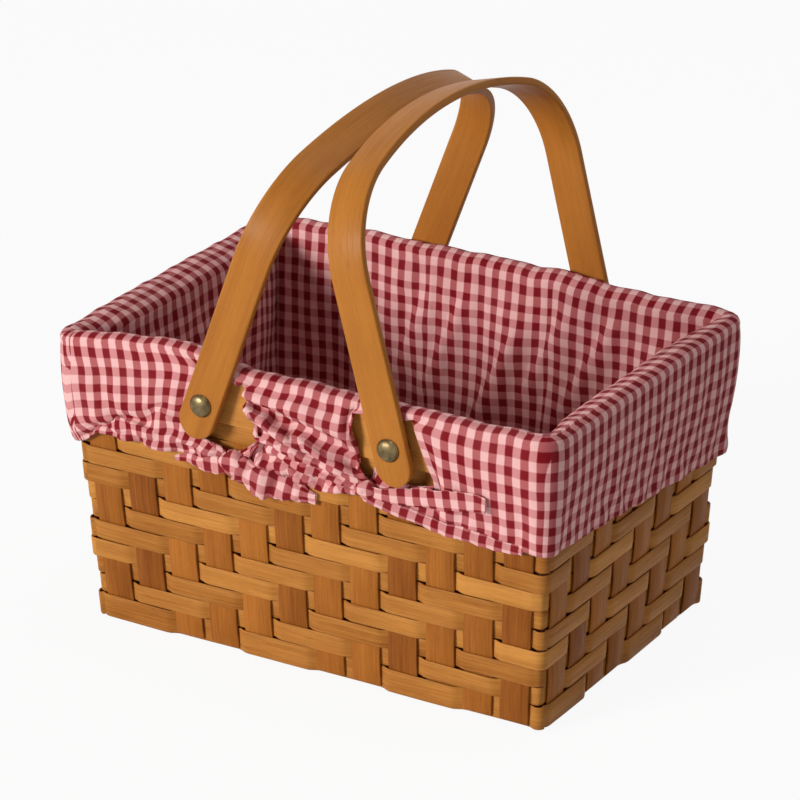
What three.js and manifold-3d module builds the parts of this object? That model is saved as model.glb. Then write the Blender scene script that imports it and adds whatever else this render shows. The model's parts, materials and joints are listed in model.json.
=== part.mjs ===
// Picnic basket: a twill-woven splint basket with two swinging bentwood handles and a tied-in cloth liner.
// Millimetres, +Z up. The origin is under the middle of the base. The front wall faces -Y.
import * as THREE from 'three'
import { mergeVertices } from 'three/addons/utils/BufferGeometryUtils.js'
import Module from 'manifold-3d'

const wasm = await Module()
wasm.setup()

// Driving dimensions of the woven body
const RIM_LENGTH = 294
const RIM_WIDTH = 206
const END_FLARE = 10.5
const SIDE_FLARE = 12
const BASKET_HEIGHT = 164
const CORNER_RADIUS = 6
const LONG_STAKES = 12
const CROSS_STAKES = 8
const STAKE_WIDTH = 17
const STAKE_THICKNESS = 1.2
const STAKE_BEND_RADIUS = 1.5
const STAKE_TOP_DROP = 1.5
const WEAVER_ROWS = 12
const WEAVER_THICKNESS = 1
const ROW_GAP = 0.5

// Rim bands
const RIM_BAND_HEIGHT = 28.5
const OUTER_BAND_THICKNESS = 3
const INNER_BAND_THICKNESS = 2.4

// Handles and their pivots
const STRAP_WIDTH = 20.8
const STRAP_THICKNESS = 4.2
const STRAP_STANDOFF = 4.2
const STRAP_TAIL = 20
const STRAP_FOOT = 14
const HANDLE_RISE = 150
const SHOULDER_RADIUS = 51.5
const SHOULDER_TURN = THREE.MathUtils.degToRad(71)
const LEG_FLARE = THREE.MathUtils.degToRad(0.6)
const PIVOT_DROP = 17
const PIVOT_STAKE = 3
const LEFT_PIVOT_SHIFT = 4.4
const MEETING_OFFSET = 10
const MEETING_GAP = 0.4

// Rivets, spacers and burr washers
const SHANK_RADIUS = 2.4
const HEAD_RADIUS = 6.2
const HEAD_HEIGHT = 3
const CLENCH_RADIUS = 4.2
const CLENCH_HEIGHT = 1.4
const SPACER_RADIUS = 8
const BURR_RADIUS = 6.5
const BURR_THICKNESS = 1

// Cloth liner
const CLOTH = 1.2
const CUFF_DROP = 61
const CUFF_LIP = 10.5
const FOLD_DEPTH = 1.4
const HEM_FOLD_DEPTH = 3.6
const HEM_FOLD_PITCH = 38
const HEM_FOLD_SLANT = 0.4
const HEM_LIFT = 6
const OPENING_WIDTH = 42
const OPENING_TOP_DROP = 5
const OPENING_HEIGHT = 35
const FLAP_GAP = 0.8
const BAG_LIP = 9
const BAG_WALL_INSET = 1.2

// Ties
const KNOT_OFFSET = 17
const KNOT_DROP = 48
const KNOT_WIDTH = 15
const KNOT_DEPTH = 8
const TAIL_WIDTH = 9
const TAIL_DEPTH = 2.4
const SHORT_TAIL = 16
const LONG_TAIL = 40
const LONG_TAIL_FALL = 4

// Working clearance between neighbouring pieces
const FIT = 0.3

// Worked-out sizes
const BASE_LENGTH = RIM_LENGTH - 2 * END_FLARE
const BASE_WIDTH = RIM_WIDTH - 2 * SIDE_FLARE
const WEAVE_STEP = (STAKE_THICKNESS + WEAVER_THICKNESS) / 2 + FIT
const WEAVE_REACH = WEAVE_STEP + WEAVER_THICKNESS / 2
const BASE_STEP = STAKE_THICKNESS + FIT
const BASE_MID = BASE_STEP + STAKE_THICKNESS / 2
const BAND_INSIDE = STAKE_THICKNESS / 2 + FIT
const OUTER_BAND_FACE = BAND_INSIDE + OUTER_BAND_THICKNESS
const INNER_BAND_FACE = -(BAND_INSIDE + INNER_BAND_THICKNESS)
const BAND_BOTTOM = BASKET_HEIGHT - RIM_BAND_HEIGHT
const ROWS_START = BASE_MID + STAKE_BEND_RADIUS
const ROW_PITCH = (BAND_BOTTOM - ROWS_START) / WEAVER_ROWS
const PIVOT_HEIGHT = BASKET_HEIGHT - PIVOT_DROP

const SPLINT = { color: 0xc98a45, roughness: 0.6 }
const PALE_SPLINT = { color: 0xd9a865, roughness: 0.6 }
const BENTWOOD = { color: 0xb8742f, roughness: 0.4 }
const BRASS = { color: 0x9a7a3c, roughness: 0.35, metalness: 1 }
const GINGHAM = { color: 0xb8475a, roughness: 0.9 }

const basket = new THREE.Group()

function addPiece(name, geometry, finish, parent = basket) {
  const mesh = new THREE.Mesh(geometry, new THREE.MeshStandardMaterial(finish))
  mesh.name = name
  parent.add(mesh)
  return mesh
}

// The middle surface of the wall: a rounded rectangle that grows from base to rim
function halfLength(z) {
  const base = BASE_LENGTH / 2 - WEAVE_REACH
  const rim = RIM_LENGTH / 2 - OUTER_BAND_FACE
  return base + (rim - base) * z / BASKET_HEIGHT
}

function halfWidth(z) {
  const base = BASE_WIDTH / 2 - WEAVE_REACH
  const rim = RIM_WIDTH / 2 - OUTER_BAND_FACE
  return base + (rim - base) * z / BASKET_HEIGHT
}

// The four walls in order round the basket
const FRONT = { along: [1, 0], out: [0, -1], span: halfLength, depth: halfWidth, stakes: LONG_STAKES }
const RIGHT = { along: [0, 1], out: [1, 0], span: halfWidth, depth: halfLength, stakes: CROSS_STAKES }
const BACK = { along: [-1, 0], out: [0, 1], span: halfLength, depth: halfWidth, stakes: LONG_STAKES }
const LEFT = { along: [0, -1], out: [-1, 0], span: halfWidth, depth: halfLength, stakes: CROSS_STAKES }
const WALLS = [FRONT, RIGHT, BACK, LEFT]

function flatEnd(wall, z) {
  return wall.span(z) - CORNER_RADIUS
}

// A point on a wall, t along it from the middle, at height z and a distance out from the middle surface
function wallPoint(wall, t, z, out) {
  const depth = wall.depth(z) + out
  return [wall.along[0] * t + wall.out[0] * depth, wall.along[1] * t + wall.out[1] * depth, z]
}

// A point on the rounded corner that follows a wall, from angle 0 at that wall to a quarter turn
function cornerPoint(wall, angle, z, out) {
  const reach = CORNER_RADIUS + out
  const t = wall.span(z) - CORNER_RADIUS + reach * Math.sin(angle)
  const depth = wall.depth(z) - CORNER_RADIUS + reach * Math.cos(angle)
  return [wall.along[0] * t + wall.out[0] * depth, wall.along[1] * t + wall.out[1] * depth, z]
}

// Stakes share out the flat part of their wall, so that none reaches into a corner
function stakePlace(wall, index, z) {
  const outermost = flatEnd(wall, z) - STAKE_WIDTH / 2 - FIT
  const middle = (wall.stakes - 1) / 2
  return outermost / middle * (index - middle)
}

// The left rivets sit a little off the middle of their stake, nearer the middle of the basket
const PIVOT_X = -stakePlace(FRONT, PIVOT_STAKE, PIVOT_HEIGHT)
const LEFT_PIVOT = LEFT_PIVOT_SHIFT - PIVOT_X
const RIGHT_PIVOT = PIVOT_X
const RIVETED_STAKES = [PIVOT_STAKE, LONG_STAKES - 1 - PIVOT_STAKE]

function lerp(from, to, share) {
  return from + (to - from) * share
}

function smooth(share) {
  const held = Math.min(1, Math.max(0, share))
  return held * held * (3 - 2 * held)
}

function signedVolume(points, triangles) {
  let six = 0
  for (let n = 0; n < triangles.length; n += 3) {
    const [a, b, c] = [points[triangles[n]], points[triangles[n + 1]], points[triangles[n + 2]]]
    six += a[0] * (b[1] * c[2] - b[2] * c[1])
    six += a[1] * (b[2] * c[0] - b[0] * c[2])
    six += a[2] * (b[0] * c[1] - b[1] * c[0])
  }
  return six / 6
}

function closedGeometry(points, triangles) {
  if (signedVolume(points, triangles) < 0) triangles.reverse()
  const geometry = new THREE.BufferGeometry()
  geometry.setAttribute('position', new THREE.Float32BufferAttribute(points.flat(), 3))
  geometry.setIndex(triangles)
  geometry.computeVertexNormals()
  return geometry
}

// A sheet with thickness: two grids of points, face and back, one row for each station along it.
// A ring joins its last station to its first, and an open sheet is closed at both ends.
function sheet(face, back, ring = false) {
  const stations = face.length
  const across = face[0].length
  const points = [...face.flat(), ...back.flat()]
  const triangles = []
  const onFace = (i, k) => (i % stations) * across + k
  const onBack = (i, k) => stations * across + onFace(i, k)
  const quad = (a, b, c, d) => triangles.push(a, b, c, a, c, d)
  const last = across - 1
  for (let i = 0; i < (ring ? stations : stations - 1); i++) {
    for (let k = 0; k < last; k++) {
      quad(onFace(i, k), onFace(i + 1, k), onFace(i + 1, k + 1), onFace(i, k + 1))
      quad(onBack(i, k), onBack(i, k + 1), onBack(i + 1, k + 1), onBack(i + 1, k))
    }
    quad(onFace(i, 0), onBack(i, 0), onBack(i + 1, 0), onFace(i + 1, 0))
    quad(onFace(i, last), onFace(i + 1, last), onBack(i + 1, last), onBack(i, last))
  }
  if (!ring) {
    const end = stations - 1
    for (let k = 0; k < last; k++) {
      quad(onFace(0, k), onFace(0, k + 1), onBack(0, k + 1), onBack(0, k))
      quad(onFace(end, k + 1), onFace(end, k), onBack(end, k), onBack(end, k + 1))
    }
  }
  return closedGeometry(points, triangles)
}

function solidOf(geometry) {
  const bare = geometry.clone()
  bare.deleteAttribute('normal')
  bare.deleteAttribute('uv')
  const merged = mergeVertices(bare)
  return new wasm.Manifold(new wasm.Mesh({
    numProp: 3,
    vertProperties: new Float32Array(merged.attributes.position.array),
    triVerts: new Uint32Array(merged.index.array),
  }))
}

// Cut each tool out of a piece
function cut(geometry, tools) {
  let solid = solidOf(geometry)
  for (const tool of tools) solid = solid.subtract(solidOf(tool))
  const mesh = solid.getMesh()
  const result = new THREE.BufferGeometry()
  result.setAttribute('position', new THREE.Float32BufferAttribute(mesh.vertProperties, 3))
  result.setIndex([...mesh.triVerts])
  result.computeVertexNormals()
  return result
}

// A straight drill along Y, long enough to pass through the whole basket
const HOLE_SIDES = 12
function drill(x, z) {
  const through = 2 * RIM_WIDTH
  return new THREE.CylinderGeometry(SHANK_RADIUS + FIT, SHANK_RADIUS + FIT, through, HOLE_SIDES).translate(x, 0, z)
}

// Stakes: flat splints bent up at both ends, given as a path of reach, height and outward direction
const BEND_STEPS = 3
function stakeWall(depth, top) {
  const path = [{ reach: depth(top), z: top, turn: 0 }]
  const bendHeight = BASE_MID + STAKE_BEND_RADIUS
  const centre = depth(bendHeight) - STAKE_BEND_RADIUS
  for (let n = 0; n <= BEND_STEPS; n++) {
    const turn = Math.PI / 2 * n / BEND_STEPS
    const reach = centre + STAKE_BEND_RADIUS * Math.cos(turn)
    path.push({ reach, z: bendHeight - STAKE_BEND_RADIUS * Math.sin(turn), turn })
  }
  return path
}

// Place a splint's path: it starts on a wall, and index is its place along that wall
function stake(wall, index, baseRun) {
  const start = stakeWall(wall.depth, BASKET_HEIGHT - STAKE_TOP_DROP)
  const finish = start.map((at) => ({ ...at, reach: -at.reach, turn: Math.PI - at.turn })).reverse()
  const face = []
  const back = []
  for (const at of [...start, ...baseRun, ...finish]) {
    const middle = stakePlace(wall, index, at.z)
    const edges = [middle - STAKE_WIDTH / 2, middle + STAKE_WIDTH / 2]
    for (const [rows, half] of [[face, STAKE_THICKNESS / 2], [back, -STAKE_THICKNESS / 2]]) {
      const reach = at.reach + half * Math.cos(at.turn)
      const z = at.z - half * Math.sin(at.turn)
      rows.push(edges.map((t) => [
        wall.along[0] * t + wall.out[0] * reach, wall.along[1] * t + wall.out[1] * reach, z,
      ]))
    }
  }
  return sheet(face, back)
}

// In the base each cross stake passes over two long stakes and under two
function baseWave(index) {
  const run = []
  for (let n = 0; n < LONG_STAKES; n++) {
    const long = LONG_STAKES - 1 - n
    const height = (long + index) % 4 < 2 ? BASE_STEP : -BASE_STEP
    const middle = stakePlace(FRONT, long, BASE_MID)
    const half = STAKE_WIDTH / 2 + FIT / 2
    run.push({ reach: middle + half, z: BASE_MID + height, turn: Math.PI / 2 })
    run.push({ reach: middle - half, z: BASE_MID + height, turn: Math.PI / 2 })
  }
  return run.filter((at, n) => {
    const before = run[n - 1]
    const after = run[n + 1]
    return !before || !after || before.z !== at.z || after.z !== at.z
  })
}

function twoDigits(number) {
  return String(number).padStart(2, '0')
}

const drillRow = [drill(LEFT_PIVOT, PIVOT_HEIGHT), drill(RIGHT_PIVOT, PIVOT_HEIGHT)]

for (let n = 0; n < LONG_STAKES; n++) {
  const plain = stake(FRONT, n, [])
  const geometry = RIVETED_STAKES.includes(n) ? cut(plain, drillRow) : plain
  addPiece(`long_stake_${twoDigits(n + 1)}`, geometry, SPLINT)
}
for (let n = 0; n < CROSS_STAKES; n++) {
  addPiece(`cross_stake_${n + 1}`, stake(RIGHT, n, baseWave(n)), SPLINT)
}

// Weavers: a 2/2 twill, stepped by one stake in each row. A stake lies outside two rows, then inside two.
const CORNER_STEPS = 3
function weaverOut(row, stakeNumber) {
  const phase = ((row - stakeNumber) % 4 + 4) % 4
  return phase === 1 || phase === 2 ? -WEAVE_STEP : WEAVE_STEP
}

function weaver(row) {
  const bottom = ROWS_START + row * ROW_PITCH + ROW_GAP / 2
  const heights = [bottom, bottom + ROW_PITCH - ROW_GAP]
  const face = []
  const back = []
  const place = (at, out) => {
    face.push(heights.map((z) => at(z, out + WEAVER_THICKNESS / 2)))
    back.push(heights.map((z) => at(z, out - WEAVER_THICKNESS / 2)))
  }
  const total = 2 * (LONG_STAKES + CROSS_STAKES)
  let number = 0
  for (const wall of WALLS) {
    const count = wall.stakes
    for (let index = 0; index < count; index++, number++) {
      const out = weaverOut(row, number)
      const edge = (sign) => (z, away) => {
        return wallPoint(wall, stakePlace(wall, index, z) + sign * (STAKE_WIDTH + FIT) / 2, z, away)
      }
      if (index > 0 && weaverOut(row, number - 1) !== out) place(edge(-1), out)
      if (index < count - 1 && weaverOut(row, number + 1) !== out) place(edge(1), out)
    }
    const from = weaverOut(row, number - 1)
    const to = weaverOut(row, number % total)
    for (let n = 0; n <= CORNER_STEPS; n++) {
      const share = n / CORNER_STEPS
      place((z, away) => cornerPoint(wall, share * Math.PI / 2, z, away), lerp(from, to, share))
    }
  }
  return sheet(face, back, true)
}

for (let row = 0; row < WEAVER_ROWS; row++) {
  addPiece(`weaver_${twoDigits(row + 1)}`, weaver(row), PALE_SPLINT)
}

// Rim bands: two bent hoops that clamp the stakes
const BAND_CORNER_STEPS = 4
function band(inside, outside) {
  const heights = [BAND_BOTTOM, BASKET_HEIGHT]
  const face = []
  const back = []
  for (const wall of WALLS) {
    for (let n = 0; n <= BAND_CORNER_STEPS; n++) {
      const angle = Math.PI / 2 * n / BAND_CORNER_STEPS
      face.push(heights.map((z) => cornerPoint(wall, angle, z, outside)))
      back.push(heights.map((z) => cornerPoint(wall, angle, z, inside)))
    }
  }
  return cut(sheet(face, back, true), drillRow)
}

addPiece('rim_outer_band', band(BAND_INSIDE, OUTER_BAND_FACE), SPLINT)
addPiece('rim_inner_band', band(INNER_BAND_FACE, -BAND_INSIDE), SPLINT)

// Handles: a strap with round ends, straight legs, round shoulders and a flatter crown
const STRAP_INSIDE = halfWidth(PIVOT_HEIGHT) + OUTER_BAND_FACE + STRAP_STANDOFF
const STRAP_MIDDLE = STRAP_INSIDE + STRAP_THICKNESS / 2
const TAIL_STEPS = 5
const SHOULDER_STEPS = 7
const CROWN_STEPS = 5
const TIP_SHARE = 0.12

function strapHalf() {
  const path = []
  const round = STRAP_WIDTH / 2
  for (let n = 0; n <= TAIL_STEPS; n++) {
    const angle = lerp(Math.asin(TIP_SHARE), Math.PI / 2, n / TAIL_STEPS)
    const height = -STRAP_TAIL + round * (1 - Math.cos(angle))
    path.push({ y: STRAP_MIDDLE, height, turn: 0, half: round * Math.sin(angle) })
  }
  path.push({ y: STRAP_MIDDLE, height: STRAP_FOOT, turn: -LEG_FLARE / 2, half: round })
  const crownShare = (1 - Math.sin(SHOULDER_TURN)) / Math.cos(SHOULDER_TURN)
  const shoulderRise = SHOULDER_RADIUS * (Math.sin(SHOULDER_TURN) + Math.sin(LEG_FLARE))
  const shoulderIn = SHOULDER_RADIUS * (Math.cos(LEG_FLARE) - Math.cos(SHOULDER_TURN))
  const slope = Math.tan(LEG_FLARE)
  const crownStart = STRAP_MIDDLE - STRAP_FOOT * slope - shoulderIn
  const shoulder = (HANDLE_RISE - shoulderRise - crownShare * crownStart) / (1 + crownShare * slope)
  const shoulderY = STRAP_MIDDLE + (shoulder - STRAP_FOOT) * slope
  for (let n = 0; n <= SHOULDER_STEPS; n++) {
    const turn = lerp(-LEG_FLARE, SHOULDER_TURN, n / SHOULDER_STEPS)
    const y = shoulderY + SHOULDER_RADIUS * (Math.cos(turn) - Math.cos(LEG_FLARE))
    const height = shoulder + SHOULDER_RADIUS * (Math.sin(turn) + Math.sin(LEG_FLARE))
    path.push({ y, height, turn, half: round })
  }
  const end = path[path.length - 1]
  const crownRadius = end.y / Math.cos(SHOULDER_TURN)
  for (let n = 1; n <= CROWN_STEPS; n++) {
    const turn = lerp(SHOULDER_TURN, Math.PI / 2, n / CROWN_STEPS)
    const height = HANDLE_RISE - crownRadius * (1 - Math.sin(turn))
    path.push({ y: crownRadius * Math.cos(turn), height, turn, half: round })
  }
  return path
}

function strap() {
  const half = strapHalf()
  const other = half.slice(0, -1).reverse().map((at) => ({ ...at, y: -at.y, turn: Math.PI - at.turn }))
  const face = []
  const back = []
  for (const at of [...half, ...other]) {
    for (const [rows, depth] of [[face, STRAP_THICKNESS / 2], [back, -STRAP_THICKNESS / 2]]) {
      const y = at.y + depth * Math.cos(at.turn)
      const z = at.height + depth * Math.sin(at.turn)
      rows.push([[-at.half, y, z], [at.half, y, z]])
    }
  }
  return cut(sheet(face, back), [drill(0, 0)])
}

// The raised handles lean in until their crowns meet, a little to the right of the middle
function lean(reach) {
  const crown = HANDLE_RISE + STRAP_THICKNESS / 2
  const corner = Math.hypot(crown, STRAP_WIDTH / 2)
  return Math.asin((reach - MEETING_GAP / 2) / corner) - Math.atan2(STRAP_WIDTH / 2, crown)
}

const leftHandle = addPiece('handle_left', strap(), BENTWOOD)
leftHandle.position.set(LEFT_PIVOT, 0, PIVOT_HEIGHT)
leftHandle.rotation.y = lean(MEETING_OFFSET - LEFT_PIVOT)
const rightHandle = addPiece('handle_right', strap(), BENTWOOD)
rightHandle.position.set(RIGHT_PIVOT, 0, PIVOT_HEIGHT)
rightHandle.rotation.y = -lean(RIGHT_PIVOT - MEETING_OFFSET)

// Pivots, drawn at the front with their heads towards -Y and turned round for the back
const BURR_SEAT = halfWidth(PIVOT_HEIGHT - BURR_RADIUS) + INNER_BAND_FACE - FIT - BURR_THICKNESS
const HEAD_SEAT = STRAP_INSIDE + STRAP_THICKNESS + FIT
const RIVET_SIDES = 12
const HEAD_STEPS = 4
const CLENCH_TAPER = 0.8

function rivet() {
  const clenchSeat = BURR_SEAT - FIT
  const profile = [
    [0, clenchSeat - CLENCH_HEIGHT],
    [CLENCH_RADIUS * CLENCH_TAPER, clenchSeat - CLENCH_HEIGHT],
    [CLENCH_RADIUS, clenchSeat],
    [SHANK_RADIUS, clenchSeat],
    [SHANK_RADIUS, HEAD_SEAT],
  ]
  for (let n = 0; n <= HEAD_STEPS; n++) {
    const angle = Math.PI / 2 * n / HEAD_STEPS
    profile.push([HEAD_RADIUS * Math.cos(angle), HEAD_SEAT + HEAD_HEIGHT * Math.sin(angle)])
  }
  profile[profile.length - 1][0] = 0
  const points = profile.map(([radius, along]) => new THREE.Vector2(radius, along))
  return new THREE.LatheGeometry(points, RIVET_SIDES).rotateZ(Math.PI)
}

// A washer round the rivet between two places along it, which may follow the slope of the wall
function washer(radius, near, far) {
  const face = []
  const back = []
  for (let n = 0; n < RIVET_SIDES; n++) {
    const angle = 2 * Math.PI * n / RIVET_SIDES
    for (const [rows, size] of [[face, radius], [back, SHANK_RADIUS + FIT]]) {
      const z = size * Math.sin(angle)
      rows.push([near, far].map((along) => [size * Math.cos(angle), -along(z), z]))
    }
  }
  return sheet(face, back, true)
}

const bandFace = (z) => halfWidth(PIVOT_HEIGHT + z) + OUTER_BAND_FACE + FIT
const strapFace = () => STRAP_INSIDE - FIT
const innerFace = (z) => halfWidth(PIVOT_HEIGHT + z) + INNER_BAND_FACE - FIT
const burrFace = () => BURR_SEAT

for (const [wallName, turn] of [['front', 0], ['back', Math.PI]]) {
  for (const [sideName, x] of [['left', LEFT_PIVOT], ['right', RIGHT_PIVOT]]) {
    const pivot = new THREE.Group()
    pivot.position.set(x, 0, PIVOT_HEIGHT)
    pivot.rotation.z = turn
    basket.add(pivot)
    addPiece(`rivet_${wallName}_${sideName}`, rivet(), BRASS, pivot)
    addPiece(`spacer_${wallName}_${sideName}`, washer(SPACER_RADIUS, bandFace, strapFace), BRASS, pivot)
    addPiece(`burr_${wallName}_${sideName}`, washer(BURR_RADIUS, burrFace, innerFace), BRASS, pivot)
  }
}

// Liner cuff: cloth turned out over the rim, cut round the foot of each strap
const LIP_OUT = INNER_BAND_FACE - FIT - CLOTH / 2
const CUFF_OUT = OUTER_BAND_FACE + FIT + CLOTH / 2
const HEM_OUT = WEAVE_REACH + FIT + CLOTH / 2
const HEM_HEIGHT = BASKET_HEIGHT - CUFF_DROP
const OPENING_TOP = BASKET_HEIGHT - OPENING_TOP_DROP
const OPENING_BOTTOM = OPENING_TOP - OPENING_HEIGHT
const OPENING_STEPS = 5
const TIE_CALM = 0.5
const CUFF_CORNER_STEPS = 4
const STATIONS_PER_FOLD = 3.4

// The cuff's middle line from the inner lip over the rim to the hem, as distance out and height
function cuffLine() {
  const top = BASKET_HEIGHT + FIT + CLOTH / 2
  const middle = (LIP_OUT + CUFF_OUT) / 2
  const line = [
    { out: LIP_OUT, z: BASKET_HEIGHT - CUFF_LIP },
    { out: LIP_OUT, z: BASKET_HEIGHT },
    { out: LIP_OUT + CLOTH / 2, z: top },
    { out: middle, z: top + FOLD_DEPTH / 2 },
    { out: CUFF_OUT - CLOTH / 2, z: top },
    { out: CUFF_OUT, z: BASKET_HEIGHT },
  ]
  for (let n = 0; n <= OPENING_STEPS; n++) {
    line.push({ out: CUFF_OUT, z: lerp(OPENING_TOP, OPENING_BOTTOM, n / OPENING_STEPS), hangs: true })
  }
  line.push({ out: HEM_OUT + CLOTH / 2, z: (OPENING_BOTTOM + HEM_HEIGHT) / 2, hangs: true })
  line.push({ out: HEM_OUT, z: HEM_HEIGHT, hangs: true })
  return line
}

// How far a flap's edge stands back from the pivot line, widest half way down the handle opening
function flapEdge(z) {
  const share = (z - OPENING_BOTTOM) / OPENING_HEIGHT
  if (share <= 0 || share >= 1) return FLAP_GAP / 2
  return FLAP_GAP / 2 + OPENING_WIDTH / 2 * Math.sqrt(Math.sin(Math.PI * share))
}

// Soft folds swell towards the hem and lean towards the nearest tie, where they die out
function hemFold(fromTie, z) {
  const fall = smooth((OPENING_TOP - z) / (OPENING_TOP - HEM_HEIGHT))
  const calm = smooth(fromTie / HEM_FOLD_PITCH - TIE_CALM)
  const phase = (fromTie - HEM_FOLD_SLANT * (OPENING_TOP - z)) / HEM_FOLD_PITCH
  return HEM_FOLD_DEPTH * fall * calm * (1 - Math.cos(2 * Math.PI * phase)) / 2
}

// The ties draw the hem up at the ends of each flap
function hemLift(fromTie, z) {
  const share = Math.max(0, (OPENING_BOTTOM - z) / (OPENING_BOTTOM - HEM_HEIGHT))
  return HEM_LIFT * share * (1 - smooth(fromTie / HEM_FOLD_PITCH))
}

// A flap runs through stations along the walls and round the corners
function flap(stations, length) {
  const line = cuffLine()
  const half = CLOTH / 2
  const face = []
  const back = []
  for (const station of stations) {
    const faceRow = []
    const backRow = []
    line.forEach((at, k) => {
      const before = line[Math.max(0, k - 1)]
      const after = line[Math.min(line.length - 1, k + 1)]
      const run = Math.hypot(after.out - before.out, after.z - before.z)
      const normal = { out: -(after.z - before.z) / run, z: (after.out - before.out) / run }
      const fromTie = Math.min(station.along, length - station.along)
      const out = at.out + (at.hangs ? hemFold(fromTie, at.z) : 0)
      const z = at.z + (at.hangs ? hemLift(fromTie, at.z) : 0)
      faceRow.push(station.at(z + half * normal.z, out + half * normal.out, at.z))
      backRow.push(station.at(z - half * normal.z, out - half * normal.out, at.z))
    })
    face.push(faceRow)
    back.push(backRow)
  }
  return sheet(face, back)
}

function wallStretch(wall, from, to, steps, startLength) {
  const stations = []
  for (let n = 0; n <= steps; n++) {
    const at = (z, out, edgeHeight) => {
      return wallPoint(wall, lerp(from(z, edgeHeight), to(z, edgeHeight), n / steps), z, out)
    }
    const span = Math.abs(to(HEM_HEIGHT, HEM_HEIGHT) - from(HEM_HEIGHT, HEM_HEIGHT))
    stations.push({ at, along: startLength + span * n / steps })
  }
  return stations
}

function cornerStretch(wall, startLength) {
  const stations = []
  for (let n = 1; n < CUFF_CORNER_STEPS; n++) {
    const angle = Math.PI / 2 * n / CUFF_CORNER_STEPS
    stations.push({ at: (z, out) => cornerPoint(wall, angle, z, out), along: startLength })
  }
  return stations
}

function stationCount(length) {
  return Math.max(2, Math.round(length / HEM_FOLD_PITCH * STATIONS_PER_FOLD))
}

const atPivot = (sign) => (z, edgeHeight) => sign * (PIVOT_X - flapEdge(edgeHeight))
const pastPivot = (sign) => (z, edgeHeight) => sign * (PIVOT_X + flapEdge(edgeHeight))
const atCorner = (wall, sign) => (z) => sign * flatEnd(wall, z)

function middleFlap(wall) {
  const length = 2 * PIVOT_X
  return flap(wallStretch(wall, atPivot(-1), atPivot(1), stationCount(length), 0), length)
}

// An end flap starts on one long wall, goes round an end wall and stops on the other long wall
function endFlap(near, end, far) {
  const arm = flatEnd(near, HEM_HEIGHT) - PIVOT_X
  const across = 2 * flatEnd(end, HEM_HEIGHT)
  const armSteps = stationCount(arm)
  const stations = [
    ...wallStretch(near, pastPivot(1), atCorner(near, 1), armSteps, 0),
    ...cornerStretch(near, arm),
    ...wallStretch(end, atCorner(end, -1), atCorner(end, 1), stationCount(across), arm),
    ...cornerStretch(end, arm + across),
    ...wallStretch(far, atCorner(far, -1), pastPivot(-1), armSteps, arm + across),
  ]
  return flap(stations, 2 * arm + across)
}

addPiece('cuff_front', middleFlap(FRONT), GINGHAM)
addPiece('cuff_back', middleFlap(BACK), GINGHAM)
addPiece('cuff_right', endFlap(FRONT, RIGHT, BACK), GINGHAM)
addPiece('cuff_left', endFlap(BACK, LEFT, FRONT), GINGHAM)

// Liner bag: an open cup of cloth sewn to the cuff's lip, hanging clear of the rivets' inner ends
const BAG_LIP_OUT = LIP_OUT - CLOTH / 2 - FIT
const BAG_BYPASS_OUT = BURR_SEAT - 2 * FIT - CLENCH_HEIGHT - halfWidth(PIVOT_HEIGHT)
const BAG_WALL_OUT = -(WEAVE_REACH + FIT + BAG_WALL_INSET)
const BAG_FLOOR = BASE_MID + BASE_STEP + STAKE_THICKNESS / 2 + FIT
const BAG_ROUND = 8
const BAG_CORNER_STEPS = 3

function bagLoop(z, out) {
  const loop = []
  for (const wall of WALLS) {
    for (let n = 0; n <= BAG_CORNER_STEPS; n++) {
      const angle = Math.PI / 2 * n / BAG_CORNER_STEPS
      const t = wall.span(z) + out - BAG_ROUND * (1 - Math.sin(angle))
      const depth = wall.depth(z) + out - BAG_ROUND * (1 - Math.cos(angle))
      loop.push([wall.along[0] * t + wall.out[0] * depth, wall.along[1] * t + wall.out[1] * depth, z])
    }
  }
  return loop
}

function bag() {
  const bypass = CLENCH_RADIUS + CLOTH
  const lipBottom = BASKET_HEIGHT - BAG_LIP
  const outside = [
    [lipBottom + BAG_LIP - CLOTH, BAG_LIP_OUT],
    [lipBottom, BAG_LIP_OUT],
    [PIVOT_HEIGHT + bypass, BAG_BYPASS_OUT],
    [PIVOT_HEIGHT - BURR_RADIUS, BAG_BYPASS_OUT],
    [BAND_BOTTOM - BURR_RADIUS, BAG_WALL_OUT],
    [BAG_FLOOR + BAG_ROUND, BAG_WALL_OUT],
    [BAG_FLOOR, BAG_WALL_OUT - BAG_ROUND / 2],
  ]
  const inside = outside.map(([z, out]) => [z, out - CLOTH])
  inside[inside.length - 1][0] += CLOTH
  const loops = [...outside.slice().reverse(), ...inside].map(([z, out]) => bagLoop(z, out))
  const around = loops[0].length
  const points = [...loops.flat(), [0, 0, BAG_FLOOR], [0, 0, BAG_FLOOR + CLOTH]]
  const triangles = []
  for (let n = 0; n < loops.length - 1; n++) {
    for (let i = 0; i < around; i++) {
      const [a, b] = [n * around + i, n * around + (i + 1) % around]
      triangles.push(a, b, b + around, a, b + around, a + around)
    }
  }
  const lastLoop = (loops.length - 1) * around
  const underside = loops.length * around
  for (let i = 0; i < around; i++) {
    const next = (i + 1) % around
    triangles.push(next, i, underside)
    triangles.push(lastLoop + i, lastLoop + next, underside + 1)
  }
  return closedGeometry(points, triangles)
}

addPiece('liner_bag', bag(), GINGHAM)

// Ties: a knot below each handle opening, with a short tail and a long tail that lie on the flaps
const TIE_STEPS = 14
const TIE_CLEARANCE = FIT + CLOTH / 2
const EDGE_CROWN = 0.6

// Where the outer face of the flaps lies beside a tie
function flapFace(t, z) {
  const share = (z - HEM_HEIGHT) / (OPENING_BOTTOM - HEM_HEIGHT)
  const hang = lerp(HEM_OUT, CUFF_OUT, share)
  return hang + CLOTH / 2 + hemFold(Math.abs(Math.abs(t) - PIVOT_X), z)
}

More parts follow.
